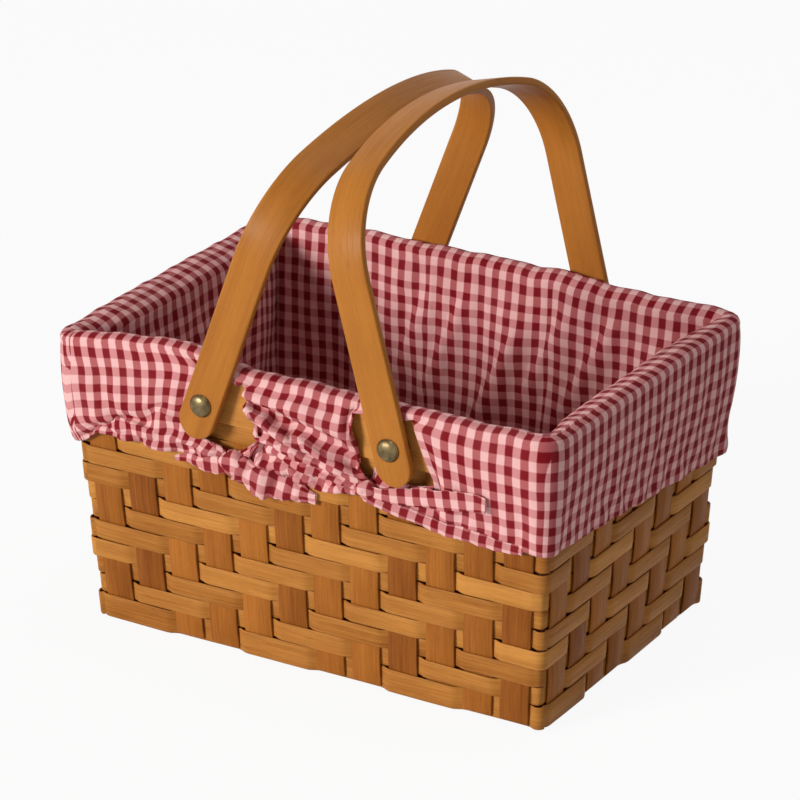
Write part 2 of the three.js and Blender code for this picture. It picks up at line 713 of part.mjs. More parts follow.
function tie(wall, sign) {
  const face = []
  const back = []
  const knot = sign * (PIVOT_X - KNOT_OFFSET)
  const knotHeight = BASKET_HEIGHT - KNOT_DROP
  for (let n = 0; n <= TIE_STEPS; n++) {
    const along = lerp(-SHORT_TAIL, LONG_TAIL, n / TIE_STEPS)
    const swell = Math.max(0, 1 - (along / (KNOT_WIDTH / 2)) ** 2)
    const bulge = Math.sqrt(swell)
    const half = lerp(TAIL_WIDTH, KNOT_WIDTH, bulge) / 2
    const depth = lerp(TAIL_DEPTH, KNOT_DEPTH, bulge)
    const middle = knotHeight - LONG_TAIL_FALL * smooth(along / LONG_TAIL)
    const t = knot + sign * along
    const row = [middle - half, middle, middle + half]
    const crown = [depth * EDGE_CROWN, depth, depth * EDGE_CROWN]
    const seat = (z) => flapFace(t, z) + TIE_CLEARANCE
    face.push(row.map((z, k) => wallPoint(wall, t, z, seat(z) + crown[k])))
    back.push(row.map((z) => wallPoint(wall, t, z, seat(z))))
  }
  return sheet(face, back)
}

addPiece('tie_front_left', tie(FRONT, -1), GINGHAM)
addPiece('tie_front_right', tie(FRONT, 1), GINGHAM)
addPiece('tie_back_left', tie(BACK, 1), GINGHAM)
addPiece('tie_back_right', tie(BACK, -1), GINGHAM)

export default basket
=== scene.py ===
"""Splint picnic basket: woven walls, bentwood handles and a gingham liner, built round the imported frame."""

import json
import math
from types import SimpleNamespace

import bpy
import numpy as np
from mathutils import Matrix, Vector


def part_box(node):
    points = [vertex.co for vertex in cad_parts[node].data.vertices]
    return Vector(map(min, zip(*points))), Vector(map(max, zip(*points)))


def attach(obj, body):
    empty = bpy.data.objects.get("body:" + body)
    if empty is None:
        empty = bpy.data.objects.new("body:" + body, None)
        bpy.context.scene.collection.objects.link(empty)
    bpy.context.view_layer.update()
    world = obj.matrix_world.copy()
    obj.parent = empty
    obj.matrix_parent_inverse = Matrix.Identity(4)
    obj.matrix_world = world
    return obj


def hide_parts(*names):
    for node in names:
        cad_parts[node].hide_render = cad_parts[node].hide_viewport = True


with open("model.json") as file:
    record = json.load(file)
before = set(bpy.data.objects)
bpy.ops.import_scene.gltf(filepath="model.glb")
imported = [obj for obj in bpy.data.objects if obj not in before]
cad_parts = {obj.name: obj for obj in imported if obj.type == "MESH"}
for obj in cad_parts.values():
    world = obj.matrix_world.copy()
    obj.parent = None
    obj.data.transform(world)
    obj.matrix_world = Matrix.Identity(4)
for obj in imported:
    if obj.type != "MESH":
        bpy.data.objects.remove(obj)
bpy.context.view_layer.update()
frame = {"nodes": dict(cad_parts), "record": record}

bl_info = {
    "name": "Splint picnic basket",
    "version": (1, 0, 0),
    "blender": (4, 5, 0),
    "location": "3D View > Sidebar > Basket",
    "description": "Weaves a splint picnic basket, bends its handles and hangs its gingham liner",
    "category": "Add Mesh",
}

LONG_STAKES = 12
CROSS_STAKES = 8
ROWS = 12


def lowest(node):
    """Lowest corner of a CAD node's box, in metres."""
    return np.array(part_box(node)[0])


def highest(node):
    """Highest corner of a CAD node's box, in metres."""
    return np.array(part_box(node)[1])


# Sizes read from the frame, in metres
RIM = highest("rim_outer_band")
RIM_TOP = float(RIM[2])
BAND_BOTTOM = float(lowest("rim_outer_band")[2])
FIRST_ROW = highest("weaver_01")
LAST_ROW = highest("weaver_12")
ROW_PITCH = float(LAST_ROW[2] - FIRST_ROW[2]) / (ROWS - 1)
ROW_HEIGHT = float(FIRST_ROW[2] - lowest("weaver_01")[2])
ROWS_START = float(FIRST_ROW[2]) - (ROW_PITCH + ROW_HEIGHT) / 2
END_LEAN = float((LAST_ROW - FIRST_ROW)[0] / (LAST_ROW - FIRST_ROW)[2])
SIDE_LEAN = float((LAST_ROW - FIRST_ROW)[1] / (LAST_ROW - FIRST_ROW)[2])
STAKE_TOP = float(highest("long_stake_01")[2])
HANDLES = {"left": "handle_left", "right": "handle_right"}
JOINTS = {joint["name"]: joint for joint in frame["record"]["behaviour"]["joints"]}
PIVOTS = {side: np.array(JOINTS[f"{side}_handle_swing"]["pos_m"]) for side in HANDLES}
HEAD_TOP = float(highest("rivet_back_right")[1])

# Walls: the rim band's face out of the walls' middle surface, that surface's corners and the weavers' own
BAND_FACE = 0.0039
CORNER = 0.006
SPLINT_BEND = 0.0034

# Weave: steps along a splint, clearances, spare widths, the base, lengths of the uneven waves, and points
SPLINT_STEP = 0.0022
UP_STEP = 0.001
STAKE_PLAY = 0.0003
ROW_SPARE = 0.0001
FIRST_ROW_SPARE = 0.0028
BASE_HEIGHT = 0.0021
BASE_WAVE = 0.0015
TWILL_STEP = 0.3
CORNER_PLACE = 0.4
ROW_WANDER = 0.13
ROW_WIDTH_WANDER = 0.17
STAKE_WANDER = 0.21
STAKE_WIDTH_WANDER = 0.16
BEND_POINTS = 5
WALL_POINTS = 74
SHORT_BASE_POINTS = 60
LONG_BASE_POINTS = 100
SQUARE_ON = 0.999
CALM_END = 0.004
CALM_BLEND = 0.006
QUARTER_TURN = np.array([[0.0, 1.0, 0.0], [-1.0, 0.0, 0.0], [0.0, 0.0, 1.0]])

# Straps and rivets: the head is domed above a rolled edge, and the clench is radius and distance from its end
STRAP_THICKNESS = 0.0042
STRAP_FOOT = 0.014
FOOT_BLEND = 0.006
STRAP_PLAY = 0.0003
EDGE_POINTS = 5
# Each strap's tone moves its grain and also darkens its wood: the left strap's larger tone is painted shade
# for its lean away from the light
GRAIN_SHIFTS_AND_PAINTED_SHADE = {"left": 0.3, "right": 0.12}
FACE_SHIFT = 0.01
HEAD_HEIGHT = 0.003
HEAD_EDGE = 0.0004
DOME_FOOT = 0.0006
CLENCH = ((0.00002, 0), (0.0026, 0.0001), (0.0037, 0.0005), (0.0042, 0.0014))
STRAP_OUTSIDE = HEAD_TOP - HEAD_HEIGHT - STRAP_PLAY

# Meshes of the bag's floor, the strands and the knots
FLOOR_RINGS = 13
STRAND_SIDES = 20
KNOT_RINGS = 22
KNOT_SIDES = 36

# Finishes: a splint's own part of the noise, the pores' shade, and the gingham's threads and stitches
TONE_SHIFTS = (37.0, 91.0)
PORE_SHADE = (0.55, 0.45, 0.4)
THREAD_STRAY = 0.0009
THREAD_PITCH = 0.00064
STITCH_HEIGHT = 0.0046

# Stage: white surround and floor, lamps as name, place, aim, size, power and colour, and the camera
WHITE = (1, 1, 1)
SURROUND_LIGHT = 0.13
FLOOR_HALF = 6
FLOOR_WHITE = 0.92
LAMPS = (
    ("key", (-2.4, -4.6, 1.7), (0, 0, 0.12), 1.5, 250, (1, 0.985, 0.96)),
    ("fill", (1.9, -1.5, 1.2), (0, 0, 0.12), 1.4, 2.5, (0.97, 0.98, 1)),
    ("top", (0.3, 0.4, 2.2), (0, 0, 0.1), 1.2, 12, WHITE),
)
LENS = 192.0
SENSOR = 36.0
AZIMUTH = math.radians(30.77)
ELEVATION = math.radians(22.93)
DISTANCE = 2.25
TARGET = (-0.00088, 0, 0.12139)

# First seeds of the random draws: a row or a stake adds its own number
SEEDS = {
    "row height": 20, "row width": 60, "row tone": 300,
    "long stake": 500, "cross stake": 700, "stake width": 40,
    "sway": 101, "counter sway": 103, "fold depth": 105,
    "rim": 91, "rim ripple": 93, "dents": 11, "crease path": 71, "crease depth": 73, "floor": 97,
}


class SplintSizes(bpy.types.PropertyGroup):
    """Sizes of the woven splints"""

    stake_width: bpy.props.FloatProperty(
        name="Stake width", description="Width of an upright splint", default=0.017, unit="LENGTH")
    stake_thickness: bpy.props.FloatProperty(
        name="Stake thickness", description="Thickness of an upright splint", default=0.0012, unit="LENGTH")
    weaver_thickness: bpy.props.FloatProperty(
        name="Weaver thickness", description="Thickness of a splint that goes round", default=0.001,
        unit="LENGTH")
    weaver_wave: bpy.props.FloatProperty(
        name="Weaver wave", description="How far a weaver swings to each side of the wall", default=0.0012,
        unit="LENGTH")
    stake_wave: bpy.props.FloatProperty(
        name="Stake wave", description="How far a stake gives way to the weavers", default=0.0004,
        unit="LENGTH")
    unevenness: bpy.props.FloatProperty(
        name="Unevenness", description="How far a splint strays from its place", default=0.00035,
        unit="LENGTH")


class HandleSizes(bpy.types.PropertyGroup):
    """Sizes of the bentwood straps and their rivets"""

    width: bpy.props.FloatProperty(
        name="Width", description="Width of the strap", default=0.0208, unit="LENGTH")
    thickness: bpy.props.FloatProperty(
        name="Thickness", description="Thickness of the strap", default=STRAP_THICKNESS, unit="LENGTH")
    tail: bpy.props.FloatProperty(
        name="Tail", description="Length of the strap below its pivot", default=0.02, unit="LENGTH")
    foot: bpy.props.FloatProperty(
        name="Foot", description="Length of straight strap above its pivot", default=STRAP_FOOT,
        unit="LENGTH")
    rise: bpy.props.FloatProperty(
        name="Rise", description="Height of the crown above the pivots", default=0.15, unit="LENGTH")
    shoulder: bpy.props.FloatProperty(
        name="Shoulder", description="Bend radius at the shoulders", default=0.0515, unit="LENGTH")
    shoulder_turn: bpy.props.FloatProperty(
        name="Shoulder turn", description="Angle that each shoulder turns through",
        default=math.radians(71), subtype="ANGLE")
    flare: bpy.props.FloatProperty(
        name="Flare", description="Lean of the legs away from the basket", default=math.radians(0.6),
        subtype="ANGLE")
    edge: bpy.props.FloatProperty(
        name="Edge", description="Rounding of the strap's edges", default=0.0011, unit="LENGTH")
    rivet_head: bpy.props.FloatProperty(
        name="Rivet head", description="Radius of a rivet's head", default=0.0062, unit="LENGTH")
    rivet_shank: bpy.props.FloatProperty(
        name="Rivet shank", description="Radius of a rivet's shank", default=0.0024, unit="LENGTH")


class LinerSizes(bpy.types.PropertyGroup):
    """Sizes and slackness of the gingham liner"""

    thickness: bpy.props.FloatProperty(
        name="Thickness", description="Thickness of the cloth", default=0.0008, unit="LENGTH")
    opening_low: bpy.props.FloatProperty(
        name="Opening bottom", description="Height of the bottom of the handle openings", default=0.124,
        unit="LENGTH")
    opening_high: bpy.props.FloatProperty(
        name="Opening top", description="Height of the top of the handle openings", default=0.159,
        unit="LENGTH")
    bag_fullness: bpy.props.FloatProperty(
        name="Bag fullness", description="Width of the bag's cloth over the width of its wall", default=1.05)
    hem_fullness: bpy.props.FloatProperty(
        name="Hem fullness", description="Spare width of the cuff at its hem", default=0.07)
    crease: bpy.props.FloatProperty(
        name="Crease", description="Depth of the bag's slack creases", default=0.0048, unit="LENGTH")
    stiffness: bpy.props.FloatProperty(
        name="Stiffness", description="How strongly the cloth resists bending", default=0.22)
    rounds: bpy.props.IntProperty(
        name="Rounds", description="Rounds of settling", default=260)
    smoothing: bpy.props.IntProperty(
        name="Smoothing", description="Rounds of smoothing after settling", default=4)


class Finishes(bpy.types.PropertyGroup):
    """Colours of the basket"""

    stake_light: bpy.props.FloatVectorProperty(
        name="Stake, light", description="Light grain of the stakes", subtype="COLOR",
        default=(0.45, 0.158, 0.024))
    stake_dark: bpy.props.FloatVectorProperty(
        name="Stake, dark", description="Dark grain of the stakes", subtype="COLOR",
        default=(0.21, 0.056, 0.0062))
    weaver_light: bpy.props.FloatVectorProperty(
        name="Weaver, light", description="Light grain of the weavers", subtype="COLOR",
        default=(0.62, 0.27, 0.058))
    weaver_dark: bpy.props.FloatVectorProperty(
        name="Weaver, dark", description="Dark grain of the weavers", subtype="COLOR",
        default=(0.29, 0.092, 0.0118))
    handle_light: bpy.props.FloatVectorProperty(
        name="Handle, light", description="Light grain of the handles", subtype="COLOR",
        default=(0.49, 0.183, 0.029))
    handle_dark: bpy.props.FloatVectorProperty(
        name="Handle, dark", description="Dark grain of the handles", subtype="COLOR",
        default=(0.3, 0.094, 0.0135))
    brass: bpy.props.FloatVectorProperty(
        name="Brass", description="Rubbed brass of the rivets", subtype="COLOR", default=(0.24, 0.175, 0.082))
    tarnish: bpy.props.FloatVectorProperty(
        name="Tarnish", description="Dark film on the brass", subtype="COLOR", default=(0.075, 0.052, 0.026))
    cloth_red: bpy.props.FloatVectorProperty(
        name="Red thread", description="Red yarn of the gingham", subtype="COLOR",
        default=(0.2, 0.0025, 0.008))
    cloth_pink: bpy.props.FloatVectorProperty(
        name="Cloth pink", description="Gingham where red and white threads cross", subtype="COLOR",
        default=(0.56, 0.15, 0.158))
    cloth_white: bpy.props.FloatVectorProperty(
        name="White thread", description="White yarn of the gingham", subtype="COLOR",
        default=(0.87, 0.5, 0.485))
    check: bpy.props.FloatProperty(
        name="Check", description="Width of one check of the gingham", default=0.0045, unit="LENGTH")


# Shapes

def half_length(z):
    """Half length of the wall's middle surface at height z: a straight lean from base to rim."""
    return RIM[0] - BAND_FACE + END_LEAN * (z - RIM_TOP)


def half_width(z):
    """Half width of the wall's middle surface at height z: a straight lean from base to rim."""
    return RIM[1] - BAND_FACE + SIDE_LEAN * (z - RIM_TOP)


ALONG = np.array([[1, 0], [0, 1], [-1, 0], [0, -1]], float)
OUTWARD = np.array([[0, -1], [1, 0], [0, 1], [-1, 0]], float)


def ring_point(wall, share, z, out, corner=CORNER, tightest=0.001):
    """A point on the basket's rounded outline at height z, moved out from the wall's middle surface.

    Walls 0 to 3 are front, right, back and left. A share from -1 to 1 runs along the flat of a wall,
    and from 1 to 2 round the corner after it, whose radius grows with the distance out.
    """
    wall, share, z, out = np.broadcast_arrays(wall, share, z, out)
    lengthwise = wall % 2 == 0
    span = np.where(lengthwise, half_length(z), half_width(z)) + out
    depth = np.where(lengthwise, half_width(z), half_length(z)) + out
    radius = np.maximum(corner + out, tightest)
    angle = np.clip(share - 1, 0, 1) * np.pi / 2
    t = np.clip(share, -1, 1) * (span - radius) + radius * np.sin(angle)
    d = depth - radius + radius * np.cos(angle)
    flat = ALONG[wall] * t[..., None] + OUTWARD[wall] * d[..., None]
    return np.concatenate([flat, z[..., None]], axis=-1)


def smooth(share):
    """Soft step from 0 to 1: 3 s squared less 2 s cubed."""
    share = np.clip(share, 0, 1)
    return share * share * (3 - 2 * share)


def wander(places, seed, pitch):
    """Soft uneven line: three sines of unlike length with phases drawn from the seed, from about -1 to 1."""
    phase = np.random.default_rng(seed).uniform(0, 2 * np.pi, 3)
    waves = [np.sin(2 * np.pi * places / (pitch * k) + p) for k, p in zip((1, 1.7, 0.61), phase)]
    return (waves[0] + 0.8 * waves[1] + 0.5 * waves[2]) / 2.3


def lattice(rows, columns, ring_rows=False, ring_columns=False):
    """Quads of a grid of points: vertex numbers, then each corner's row and column before it wraps."""
    i = np.arange(rows if ring_rows else rows - 1)
    j = np.arange(columns if ring_columns else columns - 1)
    i, j = np.meshgrid(i, j, indexing="ij")
    i = np.stack([i, i + 1, i + 1, i], -1).reshape(-1, 4)
    j = np.stack([j, j, j + 1, j + 1], -1).reshape(-1, 4)
    return (i % rows) * columns + j % columns, i, j


def make_piece(name, points, quads, corner_uv, ends=(), tone=None, attributes=()):
    """A smooth mesh object from points, quads, a UV for each quad corner, and flat end faces."""
    points = points.reshape(-1, 3)
    mesh = bpy.data.meshes.new(name)
    mesh.from_pydata(points.tolist(), [], quads.tolist() + [list(map(int, end)) for end in ends])
    flat = mesh.uv_layers.new(name="flat")
    end_uv = [np.tile(corner_uv.reshape(-1, 2)[:1], (len(end), 1)) for end in ends]
    flat.data.foreach_set("uv", np.concatenate([corner_uv.reshape(-1, 2), *end_uv]).ravel())
    if tone is not None:
        attributes = [*attributes, ("tone", np.full(len(points), tone))]
    for label, values in attributes:
        mesh.attributes.new(label, "FLOAT", "POINT").data.foreach_set("value", np.ravel(values))
    mesh.polygons.foreach_set("use_smooth", np.ones(len(mesh.polygons), bool))
    mesh.update()
    piece = bpy.data.objects.new(name, mesh)
    bpy.context.scene.collection.objects.link(piece)
    return piece


def settle(piece, material, slot, body, *nodes):
    """Give a finished piece its material, let it ride on a body and stand for CAD nodes; its slot is not
    used.
    """
    piece.data.materials.append(material)
    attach(piece, body)
    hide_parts(*nodes)
    return piece


def unit(vectors):
    """Each vector at length 1."""
    return vectors / np.maximum(np.linalg.norm(vectors, axis=-1, keepdims=True), 1e-12)


def run_of(points, ring=False):
    """Distance along a line of points, with the closing step of a ring as one more value."""
    line = np.concatenate([points, points[:1]]) if ring else points
    return np.concatenate([[0], np.cumsum(np.linalg.norm(np.diff(line, axis=0), axis=-1))])


def splint(name, middle, across, face, width, thickness, ring, tone):
    """A flat splint along a path: a bar of the given width whose two long edges are half round.

    The section has four points on each edge, at 90, 30, -30 and -90 degrees round a circle as thick as
    the splint, set half the width out along across, with face as its thickness.
    """
    angle = np.radians([-90, -30, 30, 90, 90, 150, 210, 270])
    side = np.array([1, 1, 1, 1, -1, -1, -1, -1])
    width = np.broadcast_to(width, len(middle))[:, None]
    sideways = side * (width - thickness) / 2 + thickness / 2 * np.cos(angle)
    upwards = np.broadcast_to(thickness / 2 * np.sin(angle), sideways.shape)
    points = middle[:, None] + across[:, None] * sideways[..., None] + face[:, None] * upwards[..., None]
    count = len(angle)
    quads, i, j = lattice(len(middle), count, ring, True)
    run = run_of(middle, ring)
    uv = np.stack([run[i] + tone * 3.7, sideways[i % len(middle), j % count] + tone * 1.9], -1)
    last = (len(middle) - 1) * count
    ends = () if ring else (np.arange(count)[::-1], last + np.arange(count))
    return make_piece(name, points, quads, uv, ends, tone)


def weaver_side(row, place):
    """Where a weaver runs beside stake number place: 1 outside, -1 inside, with a soft step in the gaps.

    In row r of the two over, two under twill the weaver lies outside stakes r and r + 1 of each four.
    """
    turn = np.abs((place - row - 0.5 + 2) % 4 - 2)
    return 1 - 2 * smooth((turn - 1) / TWILL_STEP + 0.5)


def row_height(row):
    """Middle height of a weaver row."""
    return ROWS_START + (row + 0.5) * ROW_PITCH


def wall_half(lengthwise, z):
    """Half the span of a long wall or of an end wall at height z."""
    return half_length(z) if lengthwise else half_width(z)


def stake_count(lengthwise):
    """Number of stakes on a long wall or on an end wall."""
    return LONG_STAKES if lengthwise else CROSS_STAKES


def stake_pitch(lengthwise, z, sizes):
    """Distance between the middles of neighbouring stakes on a wall at height z."""
    reach = wall_half(lengthwise, z) - CORNER - sizes.stake_width / 2 - STAKE_PLAY
    return reach / ((stake_count(lengthwise) - 1) / 2)


def weaver_lap(row, sizes):
    """Wall, share along it and stake number at each point of a weaver, once round the basket."""
    z = row_height(row)
    lap = []
    first = 0
    for wall in range(4):
        lengthwise = wall % 2 == 0
        count = stake_count(lengthwise)
        flat = wall_half(lengthwise, z) - SPLINT_BEND
        share = np.linspace(-1, 1, int(flat * 2 / SPLINT_STEP))
        bend = np.linspace(1, 2, BEND_POINTS + 2)[1:-1]
        reach = flat / stake_pitch(lengthwise, z, sizes)
        along = (count - 1) / 2 + share * reach
        corner = np.linspace(along[-1], count - CORNER_PLACE, BEND_POINTS + 2)[1:-1]
        place = first + np.concatenate([along, corner])
        lap.append((np.full(len(place), wall), np.concatenate([share, bend]), place))
        first += count
    return [np.concatenate(part) for part in zip(*lap)]


def weaver_piece(row, sizes):
    """One weaver: a closed splint round the basket, which steps in and out between the stakes.

    Its height and width wander a little, and the first row is wider so that it reaches the base.
    """
    wall, share, place = weaver_lap(row, sizes)
    lap = np.arange(len(wall)) * SPLINT_STEP
    out = sizes.weaver_wave * weaver_side(row, place)
    height = row_height(row) + sizes.unevenness * wander(lap, SEEDS["row height"] + row, ROW_WANDER)
    swell = sizes.unevenness * wander(lap, SEEDS["row width"] + row, ROW_WIDTH_WANDER)
    width = ROW_HEIGHT + ROW_SPARE + swell
    if row == 0:
        height, width = height - FIRST_ROW_SPARE / 2, width + FIRST_ROW_SPARE
    middle = ring_point(wall, share, height, out, SPLINT_BEND)
    upper = ring_point(wall, share, height + UP_STEP, out, SPLINT_BEND)
    across = unit(upper - middle)
    forward = unit(np.roll(middle, -1, 0) - np.roll(middle, 1, 0))
    face = unit(np.cross(forward, across))
    tone = np.random.default_rng(SEEDS["row tone"] + row).uniform()
    name = f"weaver_{row + 1:02d}_splint"
    return splint(name, middle, across, face, width, sizes.weaver_thickness, True, tone)


def stake_node(lengthwise, index):
    """Name of a stake's CAD node."""
    return f"long_stake_{index + 1:02d}" if lengthwise else f"cross_stake_{index + 1}"


def stake_profile(lengthwise):
    """Reach, height and facing of a stake from the top of one wall to the other, before its waves.

    The facing is the angle of the outer face: 0 looks out of the first wall and a quarter turn down.
    """
    radius = ROWS_START - BASE_HEIGHT
    depth = half_width if lengthwise else half_length
    down = np.linspace(STAKE_TOP, ROWS_START, WALL_POINTS)
    bend = np.linspace(0, np.pi / 2, 8)[1:]
    centre = depth(ROWS_START) - radius
    reach = np.concatenate([depth(down), centre + radius * np.cos(bend)])
    height = np.concatenate([down, ROWS_START - radius * np.sin(bend)])
    facing = np.concatenate([np.zeros(len(down)), bend])
    under = np.linspace(centre, -centre, SHORT_BASE_POINTS if lengthwise else LONG_BASE_POINTS)[1:-1]
    return (
        np.concatenate([reach, under, -reach[::-1]]),
        np.concatenate([height, np.full(len(under), BASE_HEIGHT), height[::-1]]),
        np.concatenate([facing, np.full(len(under), np.pi / 2), np.pi - facing[::-1]]),
    )


def stake_wave(reach, height, facing, near, far, sizes):
    """How far a stake stands off the middle surface on its walls: a cosine of four rows, faded at both ends.

    near and far are the stake's numbers on the wall where it starts and on the wall across.
    """
    row = (height - ROWS_START) / ROW_PITCH
    number = np.where(reach > 0, near, far)
    fade = smooth(row / 0.6) * smooth((ROWS - row) / 0.8)
    wave = sizes.stake_wave * np.sqrt(2) * np.cos(np.pi / 2 * (row - number - 2)) * fade
    return np.where(np.abs(np.cos(facing)) > SQUARE_ON, wave, 0)


def base_lift(reach, facing, index, sizes):
    """Rise and dip of a cross stake in the base: over two long stakes and under two, calm at its ends."""
    place = reach / stake_pitch(True, BASE_HEIGHT, sizes) + (LONG_STAKES - 1) / 2
    calm = smooth((half_length(0) - CALM_END - np.abs(reach)) / CALM_BLEND)
    lift = BASE_WAVE * weaver_side(-index, place) * calm
    return np.where(np.abs(np.sin(facing)) > SQUARE_ON, lift, 0)


def stake_piece(lengthwise, index, sizes):
    """One stake: a splint down a wall, through the base and up the far wall, waved against the weavers."""
    reach, height, facing = stake_profile(lengthwise)
    count = stake_count(lengthwise)
    first = 0 if lengthwise else LONG_STAKES
    far = LONG_STAKES + CROSS_STAKES + first + count - 1 - index
    wave = stake_wave(reach, height, facing, first + index, far, sizes)
    lift = 0 if lengthwise else base_lift(reach, facing, index, sizes)
    run = np.arange(len(reach)) * SPLINT_STEP
    seed = SEEDS["long stake" if lengthwise else "cross stake"] + index
    middle_at = stake_pitch(lengthwise, height, sizes) * (index - (count - 1) / 2)
    t = middle_at + sizes.unevenness * wander(run, seed, STAKE_WANDER)
    swell = sizes.unevenness * wander(run, seed + SEEDS["stake width"], STAKE_WIDTH_WANDER)
    width = sizes.stake_width + swell
    place = np.stack([t, -(reach + np.sign(reach) * wave), height + lift], -1)
    face = np.stack([np.zeros(len(t)), -np.cos(facing), -np.sin(facing)], -1)
    across = np.tile([1.0, 0.0, 0.0], (len(t), 1))
    if not lengthwise:
        place, face, across = (part @ QUARTER_TURN for part in (place, face, across))
    tone = np.random.default_rng(seed).uniform()
    name = stake_node(lengthwise, index) + "_splint"
    return splint(name, place, across, face, width, sizes.stake_thickness, False, tone)


def strap_line(sizes):
    """Half of a handle's middle line from tail to crown: distance from the middle, height, facing.

    A straight foot, a leg that flares out, a round shoulder and a flatter crown that meets it smoothly.
    """
    middle = STRAP_OUTSIDE - sizes.thickness / 2
    flare, turned = sizes.flare, sizes.shoulder_turn
    slope = math.tan(flare)
    share = (1 - math.sin(turned)) / math.cos(turned)
    climb = sizes.shoulder * (math.sin(turned) + math.sin(flare))
    inward = sizes.shoulder * (math.cos(flare) - math.cos(turned))
    start = (sizes.rise - climb - share * (middle - sizes.foot * slope - inward)) / (1 + share * slope)
    tail = -sizes.tail + sizes.width / 2 * (1 - np.cos(np.linspace(0.08, np.pi / 2, 16)))
    foot = np.linspace(tail[-1], sizes.foot - FOOT_BLEND, 8)[1:]
    leg = np.linspace(sizes.foot + FOOT_BLEND, start, 18)
    turn = np.linspace(-flare, turned, 40)[1:]
    crown = np.linspace(turned, np.pi / 2, 30)[1:]
    leg_out = middle + (leg - sizes.foot) * slope
    top_out = middle + (start - sizes.foot) * slope
    shoulder_out = top_out + sizes.shoulder * (np.cos(turn) - math.cos(flare))
    shoulder_up = start + sizes.shoulder * (np.sin(turn) + math.sin(flare))
    crown_radius = shoulder_out[-1] / math.cos(turned)
    low = np.full(len(tail) + len(foot), middle)
    out = np.concatenate([low, leg_out, shoulder_out, crown_radius * np.cos(crown)])
    up = np.concatenate([tail, foot, leg, shoulder_up, sizes.rise - crown_radius * (1 - np.sin(crown))])
    facing = np.concatenate([np.zeros(len(low)), np.full(len(leg), -flare), turn, crown])
    return out, up, facing


def hoop_lean(side):
    """Angle of a handle's hoop from upright about its pivots, taken from the middle of its CAD node."""
    vertices = frame["nodes"][HANDLES[side]].data.vertices
    places = np.empty(len(vertices) * 3, np.float32)
    vertices.foreach_get("co", places)
    middle = places.reshape(-1, 3).mean(axis=0, dtype=float) - PIVOTS[side]
    return math.atan2(middle[0], middle[2])


def handle_piece(side, sizes):
    """One bentwood handle: a strap carried along its hoop and leaned in.

    The section is a bar whose four corners are quarter rounds. At the tail its half width is that of a
    circle as wide as the strap.
    """
    out, up, facing = strap_line(sizes)
    out = np.concatenate([out, -out[-2::-1]])
    up = np.concatenate([up, up[-2::-1]])
    facing = np.concatenate([facing, np.pi - facing[-2::-1]])
    tail = np.clip(up + sizes.tail, 0, sizes.width / 2)
    half = np.sqrt(np.maximum(sizes.width * tail - tail * tail, 0))
    edge = np.minimum(sizes.edge, half * 0.9)[:, None]
    quarter = np.linspace(0, np.pi / 2, EDGE_POINTS)
    angle = np.concatenate([turn * np.pi / 2 + quarter for turn in range(4)])
    sideways = np.repeat([1, -1, -1, 1], EDGE_POINTS) * (half[:, None] - edge) + edge * np.cos(angle)
    upwards = np.repeat([1, 1, -1, -1], EDGE_POINTS) * (sizes.thickness / 2 - edge) + edge * np.sin(angle)
    points = np.stack([
        sideways,
        out[:, None] + upwards * np.cos(facing)[:, None],
        up[:, None] + upwards * np.sin(facing)[:, None],
    ], -1)
    lean = hoop_lean(side)
    turn = np.array([[math.cos(lean), 0, math.sin(lean)], [0, 1, 0], [-math.sin(lean), 0, math.cos(lean)]])
    points = points @ turn.T + PIVOTS[side]
    quads, i, j = lattice(len(out), len(angle), False, True)
    run = run_of(np.stack([out, up], -1))
    # The side's tone shifts the grain and goes to the tone attribute, where the left strap's larger value
    # paints shade on its wood
    shift = GRAIN_SHIFTS_AND_PAINTED_SHADE[side]
    grain = sideways + 3 * shift + FACE_SHIFT * (upwards > 0)
    uv = np.stack([run[i] + shift, grain[i, j % len(angle)]], -1)
    last = (len(out) - 1) * len(angle)
    ends = (np.arange(len(angle)), last + np.arange(len(angle))[::-1])
    return make_piece(f"handle_{side}_strap", points, quads[:, ::-1], uv[:, ::-1], ends, tone=shift)


def turned_piece(name, profile, centre, direction, sides=40):
    """A turned piece: a profile of radius and distance along, spun round a line along Y through centre."""
    angle = np.linspace(0, 2 * np.pi, sides, endpoint=False)
    points = np.stack([
        centre[0] + profile[:, :1] * np.cos(angle),
        np.broadcast_to(direction * profile[:, 1:], (len(profile), sides)),
        centre[2] + profile[:, :1] * np.sin(angle),
    ], -1)
    quads, i, j = lattice(len(profile), sides, False, True)
    uv = np.stack([j / sides * 0.04, run_of(profile)[i]], -1)
    if direction < 0:
        quads, uv = quads[:, ::-1], uv[:, ::-1]
    return make_piece(name, points, quads, uv)


def rivet_profile(sizes, clench_end):
    """A rivet's outline from its clenched end to the crown of its head: a domed head with a rolled edge."""
    seat = HEAD_TOP - HEAD_HEIGHT
    inner = sizes.rivet_head - HEAD_EDGE
    dome = np.linspace(0, np.pi / 2, 14)
    head = np.stack([inner * np.cos(dome), seat + DOME_FOOT + (HEAD_HEIGHT - DOME_FOOT) * np.sin(dome)], -1)
    head[-1, 0] = CLENCH[0][0]
    roll = np.linspace(-np.pi / 2, 0, 6)
    edge = np.stack([inner + HEAD_EDGE * np.cos(roll), seat + HEAD_EDGE + HEAD_EDGE * np.sin(roll)], -1)
    clench = np.array(CLENCH) + (0, clench_end)
    shank = [(sizes.rivet_shank, clench[-1, 1]), (sizes.rivet_shank, seat)]
    return np.concatenate([clench, shank, edge, head])


# Liner, in millimetres until its meshes are made

MM = 1000.0
RIM_MM = RIM_TOP * MM
CORNER_MM = CORNER * MM

